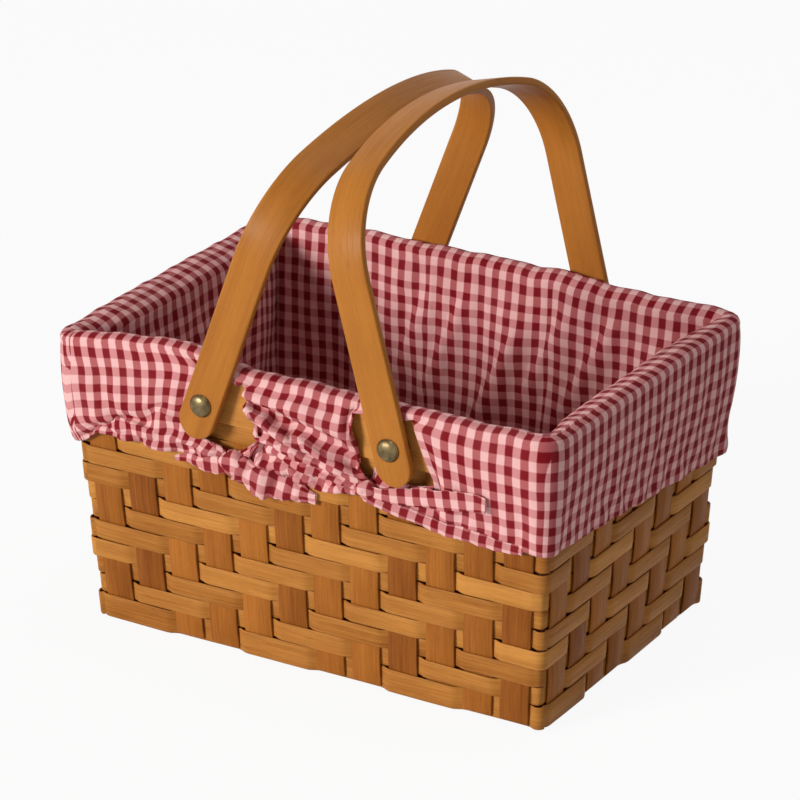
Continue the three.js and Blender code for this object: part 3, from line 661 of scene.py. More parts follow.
# Out of the walls' middle surface and height, from the floor's edge over the rim to the hem
LINER_PROFILE = (
    (-5.5, 6.0), (-4.6, 14.0), (-4.6, 125.0), (-6.4, 138.0), (-6.8, 152.0), (-6.6, 160.0), (-6.0, 163.8),
    (-4.6, 166.8), (0.2, 168.6), (5.2, 167.4), (7.6, 163.4), (7.4, 157.0), (5.8, 140.0), (4.2, 125.0),
    (3.0, 103.0),
)
FINE_FROM = 4
SEAM_AT = 6
SEAM_STEP = 0.12
BAG_ROWS = 30
CUFF_ROWS = 50
WALL_COLUMNS = 45
PANEL_COLUMNS = 30
CORNER_COLUMNS = 3

# Hem heights at the corners, lifts of the roll along each wall and sag of the bag below it
HEM_HEIGHTS = (112.0, 112.0, 96.0, 105.0, 112.0)
ROLL_LIFTS = (
    ((-142, -128, -104, -78, -62, -48, -30), (-2.4, 0, 3.5, 6, 6, 4, 0)),
    ((-95, 95), (-0.5, -2.4)),
    ((-142, -75, -40, 0, 100, 142), (-2.4, -2.4, 1, 0, 0, -2.4)),
    ((-95, 95), (-2.4, -2.4)),
)
ROLL_FOOT = 150
ROLL_BLEND = 14
ROLL_WAVE = 0.6
BAG_SAG = (0, 6.5, 0, 9)
SAG_HEIGHTS = (60, 120, 150, 161, 165, 167.5, 168.6)
SAG_SHARES = (0, 0.75, 1, 1, 0.75, 0.35, 0.1)
SAG_TAPER = 0.34

# The flap between the handles, drawn to the right knot: rows, their heights at both edges and their folds
FLAP_SHARE = 0.28
FLAP_HALF = 40
FLAP_LEFT = -28
FLAP_TOP = 160
GATHER_ROWS = (103, 112, 124, 150, 160)
GATHER_LEFT = (112, 119, 131, 155.5, 160)
GATHER_RIGHT = (113.5, 115.5, 118.5, 132.5, 160)
FLAP_ROWS = (103, 107, 111, 115, 119, 123, 127, 131, 135.5, 140, 144.5, 148, 150, 152.5, 155.5, 160)
FLAP_DEPTHS = (3.0, 4.5, 0.4, 4.6, -1.3, 5.8, 0.8, 7.4, 1.4, 6.0, 9.0, 6.5, -1.4, -1.4, 6.0, 0.0)
PANEL_MIDDLE = 0.74
LEFT_PANEL = -60

# Bowed sides of the handle openings on the front and back: places from bottom to top
OPENINGS = {
    0: (((-66, -66.5, -63.5, -58), (-20, -19, -26, -29)), ((44, 37, 35, 35), (81, 80, 75, 70))),
    2: (((-74, -73, -70, -66), (-36, -38, -40, -44)), ((38, 35, 35, 40), (74, 73, 68, 64))),
}
OPENING_LIP = 1.6
OPENING_SNAP = 2
OPENING_LOWER = 10
OPENING_UPPER = 12

# Folds of the left panel as paths and depths, and creases of the bag as wall, start, angle, length and depth
PANEL_FOLDS = (
    (((-44, 121), (-62, 129), (-88, 136)), 3.0),
    (((-45, 116), (-72, 121), (-112, 125)), 3.4),
    (((-70, 115), (-96, 118), (-124, 117)), 2.6),
)
FOLD_FADE = 12
FOLD_REACH = 1.1
BAG_FOLDS = (
    (2, (-112, 152), -60, 84, 3.0), (2, (-84, 160), -61, 92, 4.0), (2, (-52, 156), -64, 76, 2.6),
    (2, (-24, 142), -65, 88, 3.6), (2, (8, 158), -66, 84, 2.6), (2, (36, 150), -70, 70, 3.0),
    (3, (-48, 156), -74, 80, 3.0), (3, (-6, 150), -70, 84, 3.4), (3, (38, 158), -76, 76, 3.0),
    (1, (-40, 154), -72, 80, 3.0), (1, (22, 156), -106, 80, 3.0), (0, (-60, 150), -108, 76, 3.0),
    (0, (0, 156), -74, 84, 3.4), (0, (66, 150), -70, 76, 3.0),
)
CREASE_STEEP = 2.6
CREASE_SOFT = 8.0
CREASE_FADE = 26
CREASE_PITCH = 47

# Spare cloth, as shares of the lengths that the laid grid has, and where it is loose or ruffled
ROLL_FULLNESS = 1.015
LOOSE_FULLNESS = 0.06
RUFFLE_FULLNESS = 0.2
BAG_SLACK = 1.025
CUFF_SLACK = 1.02
FLAP_SLACK = 0.03
PANEL_SLACK = 0.05
CUFF_DROP = 61
LOOSE_BELOW = 162
LOOSE_BLEND = 12
RUFFLE_HEIGHT = 18
RUFFLE_BLEND = 14

# Settling: drop in each round, strength of the diagonals, slack of the bends and clearances
DROP = 0.035
SLANT_PULL = 0.2
BEND_SLACK = 0.985
FLAP_FREEDOM = 0.12
EASING = 0.3
WALL_CLEARANCE = 2.5
BAND_OUT = 2.0
BAND_IN = 1.4
BURR_IN = 3.9
BURR_REACH = 13
BURR_BLEND = 7
BAND_BLEND = 3.0
ABOVE_RIM = 0.7
SWEPT_FROM = 36
STRAP_SLOPE = 0.0105
CLOTH_CLEARANCE = 1.2
TIE_CLEARANCE = 0.6
CLOSE_BY = 6

# Knots of the ties, the cuff's folds under them, and strands: path, widths, thicknesses, crimp and lift
KNOTS = {"right": (41.0, 119.5), "left": (-39.0, 115.5)}
KNOT_RADII = {"right": 5.6, "left": 7.4}
KNOT_HALF = 4.0
KNOT_OUT = 4.0
KNOT_STEP = 2.4
FOLD_OUT = 3.6
FOLD_RISE = 1.2
TIE_STRANDS = {
    "right": (
        (((40, 119.5), (52, 119), (68, 121), (86, 124.5), (103, 127), (111, 127)),
         (5, 9, 11, 11, 9), (4, 3.2, 3.6, 4.4), 0.1, 0.3),
        (((41, 117), (54, 112.5), (74, 108.2), (98, 106), (116, 104.6), (129, 104)),
         (7, 7, 7.5, 7.5, 5), (4, 3.4, 3, 2.6, 1.6), 0.12, -1.2),
    ),
    "left": (
        (((-40, 114), (-52, 112.5), (-64, 111), (-76, 109.5)),
         (9, 9, 6, 3), (6, 4.5, 3.4, 1.6), 0.2, -2.0),
        (((-38, 113), (-28, 111), (-16, 108), (-4, 105.8), (8, 105)),
         (12, 17, 16, 12, 6), (6, 5.4, 4.8, 4, 2), 0.24, -2.0),
    ),
}

# Each tie's wall, kind of knot and seed: the back is the front turned round
TIES = {
    "tie_front_right": (0, "right", 45),
    "tie_front_left": (0, "left", 44),
    "tie_back_left": (2, "right", 59),
    "tie_back_right": (2, "left", 58),
}


def liner_columns():
    """Wall and share of each column of the liner's grid, once round from the front's left end.

    Columns stand closer together on the gathered flap between the handles.
    """
    walls, shares = [], []
    for wall in range(4):
        flat = np.linspace(-1, 1, WALL_COLUMNS)
        if wall % 2 == 0:
            panel = np.linspace(FLAP_SHARE, 1, PANEL_COLUMNS + 1)[1:]
            flat = np.concatenate([-panel[::-1], np.linspace(-FLAP_SHARE, FLAP_SHARE, WALL_COLUMNS), panel])
        bend = np.linspace(1, 2, CORNER_COLUMNS + 2)[1:-1]
        walls.append(np.full(len(flat) + len(bend), wall))
        shares.append(np.concatenate([flat, bend]))
    return np.concatenate(walls), np.concatenate(shares)


def liner_rows():
    """Out and height of each row of the liner along its profile, and which row is the seam of bag and cuff.

    Rows are closer together on the cuff, and one stands close by the seam on each side to keep it crisp.
    """
    line = np.array(LINER_PROFILE)
    run = run_of(line)
    bag = np.linspace(0, run[FINE_FROM], BAG_ROWS, endpoint=False)
    cuff = np.linspace(run[FINE_FROM], run[-1], CUFF_ROWS)
    seam = cuff[np.searchsorted(cuff, run[SEAM_AT])]
    places = np.sort(np.concatenate([bag, cuff, [seam - SEAM_STEP, seam + SEAM_STEP]]))
    row = int(np.searchsorted(places, seam))
    return np.interp(places, run, line[:, 0]), np.interp(places, run, line[:, 1]), row


def wall_gap(points):
    """Distance of points out from the walls' middle surface, and the way out of that rounded rectangle."""
    z = points[..., 2] / MM
    half = np.stack([half_length(z), half_width(z)], -1) * MM - CORNER_MM
    beyond = np.abs(points[..., :2]) - half
    past = np.maximum(beyond, 0)
    length = np.linalg.norm(past, axis=-1)
    nearest = beyond.max(-1)
    round_corner = past / np.maximum(length, 1e-9)[..., None]
    way = np.where((length > 0)[..., None], round_corner, beyond == nearest[..., None])
    return length + np.minimum(nearest, 0) - CORNER_MM, way * np.sign(points[..., :2])


def strap_room(points):
    """Room for cloth behind a strap, whether a strap gets there, and the distance from its pivot."""
    pivot = np.where(points[..., :1] < 0, PIVOTS["left"], PIVOTS["right"]) * MM
    away = np.hypot(points[..., 0] - pivot[..., 0], points[..., 2] - pivot[..., 2])
    face = (STRAP_OUTSIDE - STRAP_THICKNESS) * MM
    room = face + STRAP_SLOPE * np.maximum(away - STRAP_FOOT * MM, 0)
    return room, np.abs(points[..., 0]) > SWEPT_FROM, away


def keep_clear(points, swept, room, clearance):
    """Push points in a strap's reach back behind its inner face, at the front and at the back."""
    y = points[..., 1]
    points[..., 1] = np.where(swept, np.clip(y, clearance - room, room - clearance), y)


def pull(grid, free, first, second, rest, stiffness):
    """Move two sets of points towards their rest distance, each by its share of their freedom."""
    step = grid[second] - grid[first]
    length = np.sqrt((step * step).sum(-1))
    total = np.maximum((free[first] + free[second]) * length, 1e-9)
    step *= (stiffness * (length - rest) / total)[..., None]
    grid[first] += step * free[first][..., None]
    grid[second] -= step * free[second][..., None]


def thread_pulls(across, up, live, soft):
    """The pulls of one round: threads across and up, both diagonals, and bends over two steps.

    across and up are the cut lengths of the threads from each point to the next. A pull is left out where
    one of its ends is in a hole.
    """
    columns, rows = live.shape
    every = np.arange(columns)
    after, second_after = (every + 1) % columns, (every + 2) % columns
    whole, lower, upper = slice(None), slice(0, -1), slice(1, None)
    slant = np.sqrt(across[:, :-1] ** 2 + up ** 2)
    pulls = []
    for start in (0, 1):
        one, two = every[start::2], after[start::2]
        pulls.append(((one, whole), (two, whole), across[start::2], 1.0))
        low, high = slice(start, rows - 1, 2), slice(start + 1, rows, 2)
        pulls.append(((whole, low), (whole, high), up[:, low], 1.0))
        pulls.append(((one, lower), (two, upper), slant[start::2], SLANT_PULL))
        pulls.append(((one, upper), (two, lower), slant[start::2], SLANT_PULL))
        one = every[every // 2 % 2 == start]
        bend = (across[one] + across[after[one]]) * BEND_SLACK
        pulls.append(((one, whole), (second_after[one], whole), bend, soft))
        low = np.arange(rows - 2)
        low = low[low // 2 % 2 == start]
        bend = (up[:, low] + up[:, low + 1]) * BEND_SLACK
        pulls.append(((whole, low), (whole, low + 2), bend, soft))
    return [(a, b, rest, strength * live[a] * live[b]) for a, b, rest, strength in pulls]


def on_wall(cloth):
    """Place along its own wall and height of each point of the cloth."""
    along = (cloth.grid[..., :2] * ALONG[cloth.wall][:, None]).sum(-1)
    return np.stack([along, cloth.grid[..., 2]], -1)


def fold_path(cloth, mask, path, deep):
    """Lay one fold: points near a bent line on a wall move on to it, stand off by its depth and stay.

    The depth rises and fades at the line's ends.
    """
    path = np.array(path, float)
    legs = np.diff(path, axis=0)
    lengths = np.linalg.norm(legs, axis=-1)
    start = on_wall(cloth)[..., None, :] - path[:-1]
    share = np.clip((start * legs).sum(-1) / lengths ** 2, 0, 1)
    shift = share[..., None] * legs - start
    nearest = np.linalg.norm(shift, axis=-1).argmin(-1)[..., None]
    run = np.take_along_axis(share * lengths + np.cumsum(lengths) - lengths, nearest, -1)[..., 0]
    shift = np.take_along_axis(shift, nearest[..., None], -2)[..., 0, :]
    rise = deep * smooth(run / FOLD_FADE) * smooth((lengths.sum() - run) / FOLD_FADE)
    on = mask & (cloth.free > 0) & (np.linalg.norm(shift, axis=-1) < FOLD_REACH)
    moved = ALONG[cloth.wall][:, None] * shift[..., :1] + OUTWARD[cloth.wall][:, None] * rise[..., None]
    cloth.grid[..., :2] += np.where(on[..., None], moved, 0)
    cloth.grid[..., 2] += np.where(on, shift[..., 1], 0)
    cloth.free[on] = 0


def slack_crease(cloth, mask, start, angle, far, deep):
    """Raise one soft crease of the bag along a line: a ridge with one steep side, faded at both ends."""
    ahead = np.array([math.cos(math.radians(angle)), math.sin(math.radians(angle))])
    flat = on_wall(cloth) - np.array(start)
    reach, off = flat @ ahead, flat @ np.array([-ahead[1], ahead[0]])
    ridge = np.exp(-(off / np.where(off > 0, CREASE_STEEP, CREASE_SOFT)) ** 2)
    rise = deep * ridge * smooth(reach / CREASE_FADE) * smooth((far - reach) / CREASE_FADE) * mask
    cloth.grid[..., :2] -= OUTWARD[cloth.wall][:, None] * rise[..., None]


def gathered(tall, along, where):
    """Heights of the cuff's rows once the flap is drawn to the right knot, and how far its folds stand out.

    Across the flap each row runs straight from its height at the left edge to its lower one at the knot, so
    the rows crowd together there; the folds lie along the rows and wander in depth.
    """
    across = np.clip((along - FLAP_LEFT) / (FLAP_HALF - FLAP_LEFT), 0, 1)
    left, right = (np.interp(tall, GATHER_ROWS, heights) for heights in (GATHER_LEFT, GATHER_RIGHT))
    flap = where & (np.abs(along) < FLAP_HALF) & (tall < FLAP_TOP)
    level = np.where(flap, left + (right - left) * across, tall)
    sway = 1.1 * wander(along + 0.8 * tall, SEEDS["sway"], 34)
    sway = sway + 0.5 * wander(along - 1.7 * tall, SEEDS["counter sway"], 19)
    swell = 1 + 0.18 * wander(along + 3 * tall, SEEDS["fold depth"], 27)
    ends = smooth((along + 34) / 14) * (1 - 0.45 * smooth((along - 18) / 18))
    return level, np.where(flap, np.interp(tall + sway, FLAP_ROWS, FLAP_DEPTHS) * swell * ends, 0)


def lay_liner():
    """The liner laid over walls and rim before it hangs: a grid of one column per place round the rim.

    Its rows follow the profile. On the cuff they are drawn out to the hem's height. The roll is lifted along
    each wall and the bag below it sags inwards, both fading to the corners. plain is the same cloth before
    the flap is gathered.
    """
    wall, share = liner_columns()
    out, height, lip = liner_rows()
    crest = int(height.argmax())
    outside = np.arange(len(height)) > crest
    outer = outside & (height < RIM_MM)
    hem = np.interp(wall + np.clip((share + 1) / 2, 0, 1), np.arange(5), HEM_HEIGHTS)
    drop = (RIM_MM - hem) / (RIM_MM - height[-1])
    tall = np.where(outer, RIM_MM - (RIM_MM - height) * drop[:, None], height)
    flat = np.where(wall % 2 == 0, half_length(RIM_TOP), half_width(RIM_TOP)) * MM - CORNER_MM
    along = np.clip(share, -1, 1) * flat
    lengthwise = ((wall % 2 == 0) & (share <= 1))[:, None]
    level, rise = gathered(tall, along[:, None], lengthwise & outer)
    lift = np.choose(wall, [np.interp(along, *lifts) for lifts in ROLL_LIFTS])
    level = level + lift[:, None] * smooth((height - ROLL_FOOT) / ROLL_BLEND)
    sag = np.array(BAG_SAG)[wall] * smooth((1 - np.minimum(np.abs(share), 1)) / SAG_TAPER)
    inward = np.where(outside, 0, np.interp(height, SAG_HEIGHTS, SAG_SHARES))
    stand = out + rise - sag[:, None] * inward
    flap = lengthwise & (np.abs(along) < FLAP_HALF)[:, None]
    return SimpleNamespace(
        wall=wall, share=share, along=along, lengthwise=lengthwise,
        height=height, lip=lip, crest=crest, outside=outside, hem=hem, tall=tall,
        flap=flap, left=lengthwise & (along < LEFT_PANEL)[:, None],
        grid=ring_point(wall[:, None], share[:, None], level / MM, stand / MM) * MM,
        plain=ring_point(wall[:, None], share[:, None], tall / MM, out / MM) * MM,
        free=np.where(flap & outer, FLAP_FREEDOM, 1.0),
        live=np.ones(tall.shape),
    )


def cut_cloth(cloth, sizes):
    """Give the liner its cut lengths: those of the laid grid, with spare cloth where it hangs loose.

    across has two layers: the threads as they hang, and the same with the flap's threads before its gathers.
    """
    outside, tall = cloth.outside, cloth.tall
    gaps = [np.linalg.norm(np.roll(laid, -1, 0) - laid, axis=-1) for laid in (cloth.grid, cloth.plain)]
    depth = np.where(outside, np.clip((RIM_MM - cloth.height) / CUFF_DROP, 0, 1), 0)
    fullness = np.where(outside, ROLL_FULLNESS + sizes.hem_fullness * depth, sizes.bag_fullness)
    loose = smooth((LOOSE_BELOW - tall) / LOOSE_BLEND) * outside
    ruffle = cloth.left * smooth((cloth.hem[:, None] + RUFFLE_HEIGHT - tall) / RUFFLE_BLEND) * outside
    spare = 1 + cloth.flap * LOOSE_FULLNESS * loose + cloth.left * LOOSE_FULLNESS * loose
    hung, plain = np.stack(gaps) * fullness * (spare + RUFFLE_FULLNESS * ruffle)
    cloth.across = np.stack([hung, np.where(cloth.flap, plain, hung)])
    up = np.linalg.norm(np.diff(cloth.grid, axis=1), axis=-1)
    slack = np.where(outside[1:], CUFF_SLACK, BAG_SLACK)
    cloth.up = up * slack * (1 + (cloth.flap * FLAP_SLACK + cloth.left * PANEL_SLACK) * loose[:, 1:])


def pin_roll(cloth):
    """Hold the floor's edge and the roll over the rim, and give the roll a soft uneven top."""
    cloth.free[:, 0] = 0
    roll = slice(min(cloth.crest - 4, cloth.lip - 2), cloth.crest + 5)
    cloth.free[:, roll] = 0
    lap = run_of(cloth.grid[:, cloth.crest])
    wave = wander(lap, SEEDS["rim"], 70) + wander(lap, SEEDS["rim ripple"], 23)
    cloth.grid[:, roll, 2] += ROLL_WAVE * wave[:, None]


def wall_columns(cloth, front):
    """Numbers of the columns on the flat of one wall."""
    return np.flatnonzero((cloth.wall == front) & (cloth.share <= 1))


def pin_openings(cloth, sizes):
    """Cut the four handle openings and hold their sides along bowed lines with a small lip."""
    low, high = sizes.opening_low * MM, sizes.opening_high * MM
    marks = (low, low + OPENING_LOWER, high - OPENING_UPPER, high)
    height, along = cloth.height, cloth.along
    rows = np.flatnonzero(cloth.outside & (height < high + OPENING_SNAP) & (height > low - OPENING_SNAP - 1))
    hole = rows[(height[rows] < high) & (height[rows] > low)]
    for front, openings in OPENINGS.items():
        columns = wall_columns(cloth, front)
        for before_bow, beyond_bow in openings:
            before = columns[along[columns] <= np.mean(before_bow) + OPENING_SNAP][-1]
            beyond = columns[along[columns] >= np.mean(beyond_bow) - OPENING_SNAP][0]
            cloth.live[before + 1:beyond, hole[0]:hole[-1] + 1] = 0
            for column, bow in ((before, before_bow), (beyond, beyond_bow)):
                level = cloth.grid[column, rows, 2]
                lip = OPENING_LIP * np.sin(np.pi * np.clip((level - low) / (high - low), 0, 1))
                shift = np.interp(level, marks, bow) - along[column]
                moved = shift[:, None] * ALONG[front] + lip[:, None] * OUTWARD[front]
                cloth.grid[column, rows, :2] += moved
                cloth.free[column, rows] = 0


def pin_knots(cloth, sizes):
    """Draw the cuff's lower rows together at each knot, folded to and fro over three columns."""
    for place, knot in KNOTS.values():
        for front in OPENINGS:
            columns = wall_columns(cloth, front)
            nearest = columns[np.abs(cloth.along[columns] - place).argmin()]
            rows = np.flatnonzero(cloth.outside & (cloth.tall[nearest] < sizes.opening_low * MM + 2))
            fold = np.arange(len(rows)) % 2
            z = knot + np.linspace(KNOT_HALF, -KNOT_HALF, len(rows)) + FOLD_RISE * (fold - 0.5)
            d = half_width(z / MM) * MM + KNOT_OUT + FOLD_OUT * fold
            for step in (-1, 0, 1):
                flat = (place + KNOT_STEP * step) * ALONG[front] + d[:, None] * OUTWARD[front]
                cloth.grid[nearest + step, rows] = np.concatenate([flat, z[:, None]], -1)
                cloth.free[nearest + step, rows] = 0


def crumple(cloth, sizes):
    """Give the loose cloth a start: small dents, slanting creases in the bag and folds of the left panel."""
    grid, free = cloth.grid, cloth.free
    dents = np.random.default_rng(SEEDS["dents"]).normal(0, 1, grid.shape[:2])
    for _ in range(3):
        dents = (dents + np.roll(dents, 1, 0) + np.roll(dents, -1, 0)) / 2.2
    dents = np.abs(dents)
    _, way = wall_gap(grid)
    lap = run_of(grid[:, -1])[:, None]
    slant = lap + 0.4 * grid[..., 2] + 9 * wander(grid[..., 2] + 0.3 * lap, SEEDS["crease path"], 60)
    ridge = (0.5 + 0.5 * np.sin(2 * np.pi * slant / CREASE_PITCH)) ** 2
    depth = np.clip(0.7 + 0.6 * wander(lap, SEEDS["crease depth"], 130), 0.2, 1.3)
    crease = sizes.crease * MM * ridge * depth
    push = np.where(cloth.outside, dents * 0.5, -dents * 0.4 - crease) * free
    grid[..., :2] += push[..., None] * way
    loose = cloth.lengthwise & cloth.outside & (cloth.live > 0) & (grid[..., 2] < FLAP_TOP)
    for path, deep in PANEL_FOLDS:
        fold_path(cloth, loose, path, deep)


def clear_basket(cloth):
    """Push the cloth off the walls and rim bands, the bag also off the burrs, and out of the straps' way."""
    grid = cloth.grid
    gap, way = wall_gap(grid)
    z = grid[..., 2]
    band = smooth((z - BAND_BOTTOM * MM + WALL_CLEARANCE) / BAND_BLEND)
    below = z < RIM_MM + ABOVE_RIM
    room, swept, away = strap_room(grid)
    burr = smooth((BURR_REACH - away) / BURR_BLEND)
    need_out = np.maximum(WALL_CLEARANCE + BAND_OUT * band - gap, 0) * below
    need_in = np.maximum(gap + WALL_CLEARANCE + BAND_IN * band + BURR_IN * burr, 0) * below
    grid[..., :2] += (np.where(cloth.outside, need_out, -need_in) * cloth.free)[..., None] * way
    keep_clear(grid, swept & cloth.outside, room, CLOTH_CLEARANCE)


def smooth_cloth(cloth):
    """Ease each free point towards the mean of its neighbours, away from holes."""
    grid, live = cloth.grid, cloth.live
    mean = (np.roll(grid, 1, 0) + np.roll(grid, -1, 0)) / 2
    mean[:, 1:-1] = (mean[:, 1:-1] + (grid[:, 2:] + grid[:, :-2]) / 2) / 2
    near = live * np.roll(live, 1, 0) * np.roll(live, -1, 0)
    near[:, 1:-1] *= live[:, 2:] * live[:, :-2]
    grid += (mean - grid) * (EASING * cloth.free * near)[..., None]


def hang_liner(sizes):
    """The liner's cloth, settled: each round lets it drop, pulls its threads and clears the basket."""
    cloth = lay_liner()
    cut_cloth(cloth, sizes)
    pin_roll(cloth)
    pin_openings(cloth, sizes)
    pin_knots(cloth, sizes)
    crumple(cloth, sizes)
    pulls = thread_pulls(cloth.across[0], cloth.up, cloth.live, sizes.stiffness)
    for _ in range(sizes.rounds):
        cloth.grid[..., 2] -= DROP * cloth.free
        for first, second, rest, strength in pulls:
            pull(cloth.grid, cloth.free, first, second, rest, strength)
        clear_basket(cloth)
    for _ in range(sizes.smoothing):
        smooth_cloth(cloth)
    for number, start, angle, far, deep in BAG_FOLDS:
        inside = ~cloth.outside & (cloth.wall == number)[:, None]
        slack_crease(cloth, inside, start, angle, far, deep)
    return cloth


def thread_climb(cloth):
    """Length of the threads from the floor's edge up to each point, in metres."""
    return np.concatenate([np.zeros((len(cloth.up), 1)), np.cumsum(cloth.up, 1)], 1) / MM


def panel_shifts(cloth, run, middle):
    """How far the cut of each panel beside a flap is shifted at each row, by wall and side.

    A panel is measured from its own middle, so that it agrees with the flap along the top of the roll.
    """
    shifts = np.zeros((5, 3, run.shape[1]))
    for front in OPENINGS:
        columns = np.flatnonzero(cloth.wall == front)
        for side in (-1, 1):
            mark = columns[np.abs(cloth.share[columns] - PANEL_MIDDLE * side).argmin()]
            reach = run[mark] - run[middle[front]]
            shifts[front, side + 1] = reach[cloth.crest] - reach
    shifts[4] = shifts[0]
    return shifts


def liner_cut(cloth, i, j):
    """Flat places on the cut cloth in metres for the corners of quads at columns i and rows j.

    Each wall's cloth is measured along the threads from its own middle, so seams fall on the corners. The
    gathered flap's spare width counts inside the flap alone. Heights are level along the top of the roll.
    """
    across, crest = cloth.across, cloth.crest
    run = np.concatenate([np.zeros((2, 1, across.shape[2])), np.cumsum(across, 1)], 1) / MM
    climb = thread_climb(cloth)
    climb = climb - climb[:, crest:crest + 1] + climb[:, crest].mean()
    turned = cloth.share >= 1.5
    panel = np.where(turned, cloth.wall + 1, cloth.wall)
    place = np.where(turned, -1, cloth.share)
    middle = np.flatnonzero(np.abs(cloth.share) < 1e-6)
    centre = np.concatenate([run[:, middle], run[:, middle[:1]] + run[:, -1:]], 1)
    beside = (panel % 2 == 0) & (np.abs(place) >= FLAP_SHARE)
    plain = np.append((panel % 2 == 1) | beside, True).astype(int)
    side = np.append(np.where(beside, np.sign(place), 0), 0).astype(int)
    shifts = panel_shifts(cloth, run[1], middle)
    number = panel[i[:, :1]]
    flat = run[plain[i], i, j] - centre[plain[i], number, j] + shifts[number, side[i] + 1, j]
    return np.stack([flat, climb[i % len(climb), j]], -1)


def cloth_piece(name, points, quads, uv, thickness, hem, ends=()):
    """A cloth object from part of a grid: points that no quad uses are dropped, then it is thickened."""
    used, quads = np.unique(quads, return_inverse=True)
    quads = quads.reshape(-1, 4)[:, ::-1]
    attributes = [("hem", hem.ravel()[used])]
    piece = make_piece(name, points.reshape(-1, 3)[used], quads, uv[:, ::-1], ends, attributes=attributes)
    shell = piece.modifiers.new("thickness", "SOLIDIFY")
    shell.thickness = thickness
    shell.offset = 0
    return piece


def bag_floor(edge):
    """Rings of the bag's floor from its middle out to the walls: the edge ring shrunk in even steps."""
    shrink = np.linspace(0.02, 1, FLOOR_RINGS + 1)[:-1]
    rings = edge[:, None] * np.stack([shrink, shrink, np.ones(FLOOR_RINGS)], -1)
    ripple = wander(run_of(edge), SEEDS["floor"], 0.09)[:, None]
    rings[..., 2] += 0.0004 * (1 - shrink) + 0.0005 * ripple * np.sin(np.pi * shrink)
    return rings


def bag_piece(cloth, sizes):
    """The bag: the grid's rows from the floor's edge to the seam, with the floor's rings below them."""
    walls = cloth.grid[:, :cloth.lip + 1] / MM
    floor = bag_floor(walls[:, 0])
    points = np.concatenate([floor, walls], 1)
    deep = floor.shape[1]
    quads, i, j = lattice(*points.shape[:2], True, False)
    level = points[..., :2].reshape(-1, 2)[quads]
    cut = liner_cut(cloth, i, np.maximum(j - deep, 0))
    uv = np.where((j.max(-1) <= deep)[:, None, None], level, cut)
    cap = np.arange(len(points)) * points.shape[1]
    far_from_hem = np.full(points.shape[:2], 1.0)
    return cloth_piece("liner_bag_cloth", points, quads, uv, sizes.thickness, far_from_hem, (cap,))


def cuff_piece(cloth, sizes):
    """The cuff: the grid's rows from the seam over the rim to the hem, less its four handle openings."""
    quads, i, j = lattice(*cloth.live.shape, True, False)
    solid = np.all(cloth.live.ravel()[quads] > 0, -1) & (j.min(-1) >= cloth.lip)
    climb = thread_climb(cloth)
    hem = climb[:, -1:] - climb
    uv = liner_cut(cloth, i[solid], j[solid])
    return cloth_piece("cuff_cloth", cloth.grid / MM, quads[solid], uv, sizes.thickness, hem)


def cuff_face(cuff, along, z, front):
    """How far the cuff stands out of a wall near each place: its furthest point close by."""
    flat = cuff[:, :2] @ ALONG[front]
    deep = cuff[:, :2] @ OUTWARD[front]
    near = np.hypot(flat - along[:, None], cuff[:, 2] - z[:, None]) < CLOSE_BY
    wall = half_width(z / MM) * MM + KNOT_OUT
    return np.where(near, deep, wall[:, None]).max(-1)


def eased(line, rounds):
    """A line of values with its inner ones averaged with their neighbours, over and over."""
    line = line.copy()
    for _ in range(rounds):
        line[1:-1] = (line[:-2] + 2 * line[1:-1] + line[2:]) / 4
    return line


def tie_strand(cuff, front, path, width, thick, crimp, lift, seed):
    """A crumpled strip laid along a path on the cuff: a flat oval section whose sides swell and pinch.

    The path gives places along the wall and heights. The section's radius is 1 plus crimp times a sine that
    runs unevenly along the strip and shifts round it.
    """
    path = np.array(path, float)
    run = run_of(path)
    places = np.linspace(0, run[-1], int(run[-1] / 1.2))
    along, z = (eased(np.interp(places, run, path[:, k]), 6) for k in (0, 1))
    face = eased(cuff_face(cuff, along, z, front), 10)
    share = np.linspace(0, 1, len(places))
    width, thick = (np.interp(share, np.linspace(0, 1, len(part)), part) / 2 for part in (width, thick))
    angle = np.linspace(0, 2 * np.pi, STRAND_SIDES, endpoint=False)
    phase = np.random.default_rng(seed).uniform(0, 6, 3)
    swell = wander(places[:, None] + 2.5 * np.sin(angle + phase[0]), seed, 9)
    swell = swell + 0.8 * wander(places[:, None] + 4 * np.cos(2 * angle + phase[1]), seed + 40, 5)
    swell = 1 + crimp * swell + crimp * 0.8 * np.sin(3 * angle + places[:, None] / 5 + phase[2])
    step = unit(np.gradient(np.stack([along, z], -1), axis=0))
    sideways = width[:, None] * np.cos(angle) * swell
    upwards = (face + lift + thick)[:, None] + thick[:, None] * np.sin(angle) * swell
    t = along[:, None] - step[:, 1:] * sideways
    z = z[:, None] + step[:, :1] * sideways
    flat = t[..., None] * ALONG[front] + upwards[..., None] * OUTWARD[front]
    points = np.concatenate([flat, z[..., None]], -1)
    room, swept, _ = strap_room(points)
    keep_clear(points, swept, room, TIE_CLEARANCE)
    quads, i, j = lattice(len(places), STRAND_SIDES, False, True)
    uv = np.stack([places[i], j * (2 * np.pi / STRAND_SIDES) * width.mean()], -1) / MM
    first_ring = np.arange(STRAND_SIDES)
    ends = [first_ring[::-1], (len(places) - 1) * STRAND_SIDES + first_ring]
    return points.reshape(-1, 3), quads, uv, ends


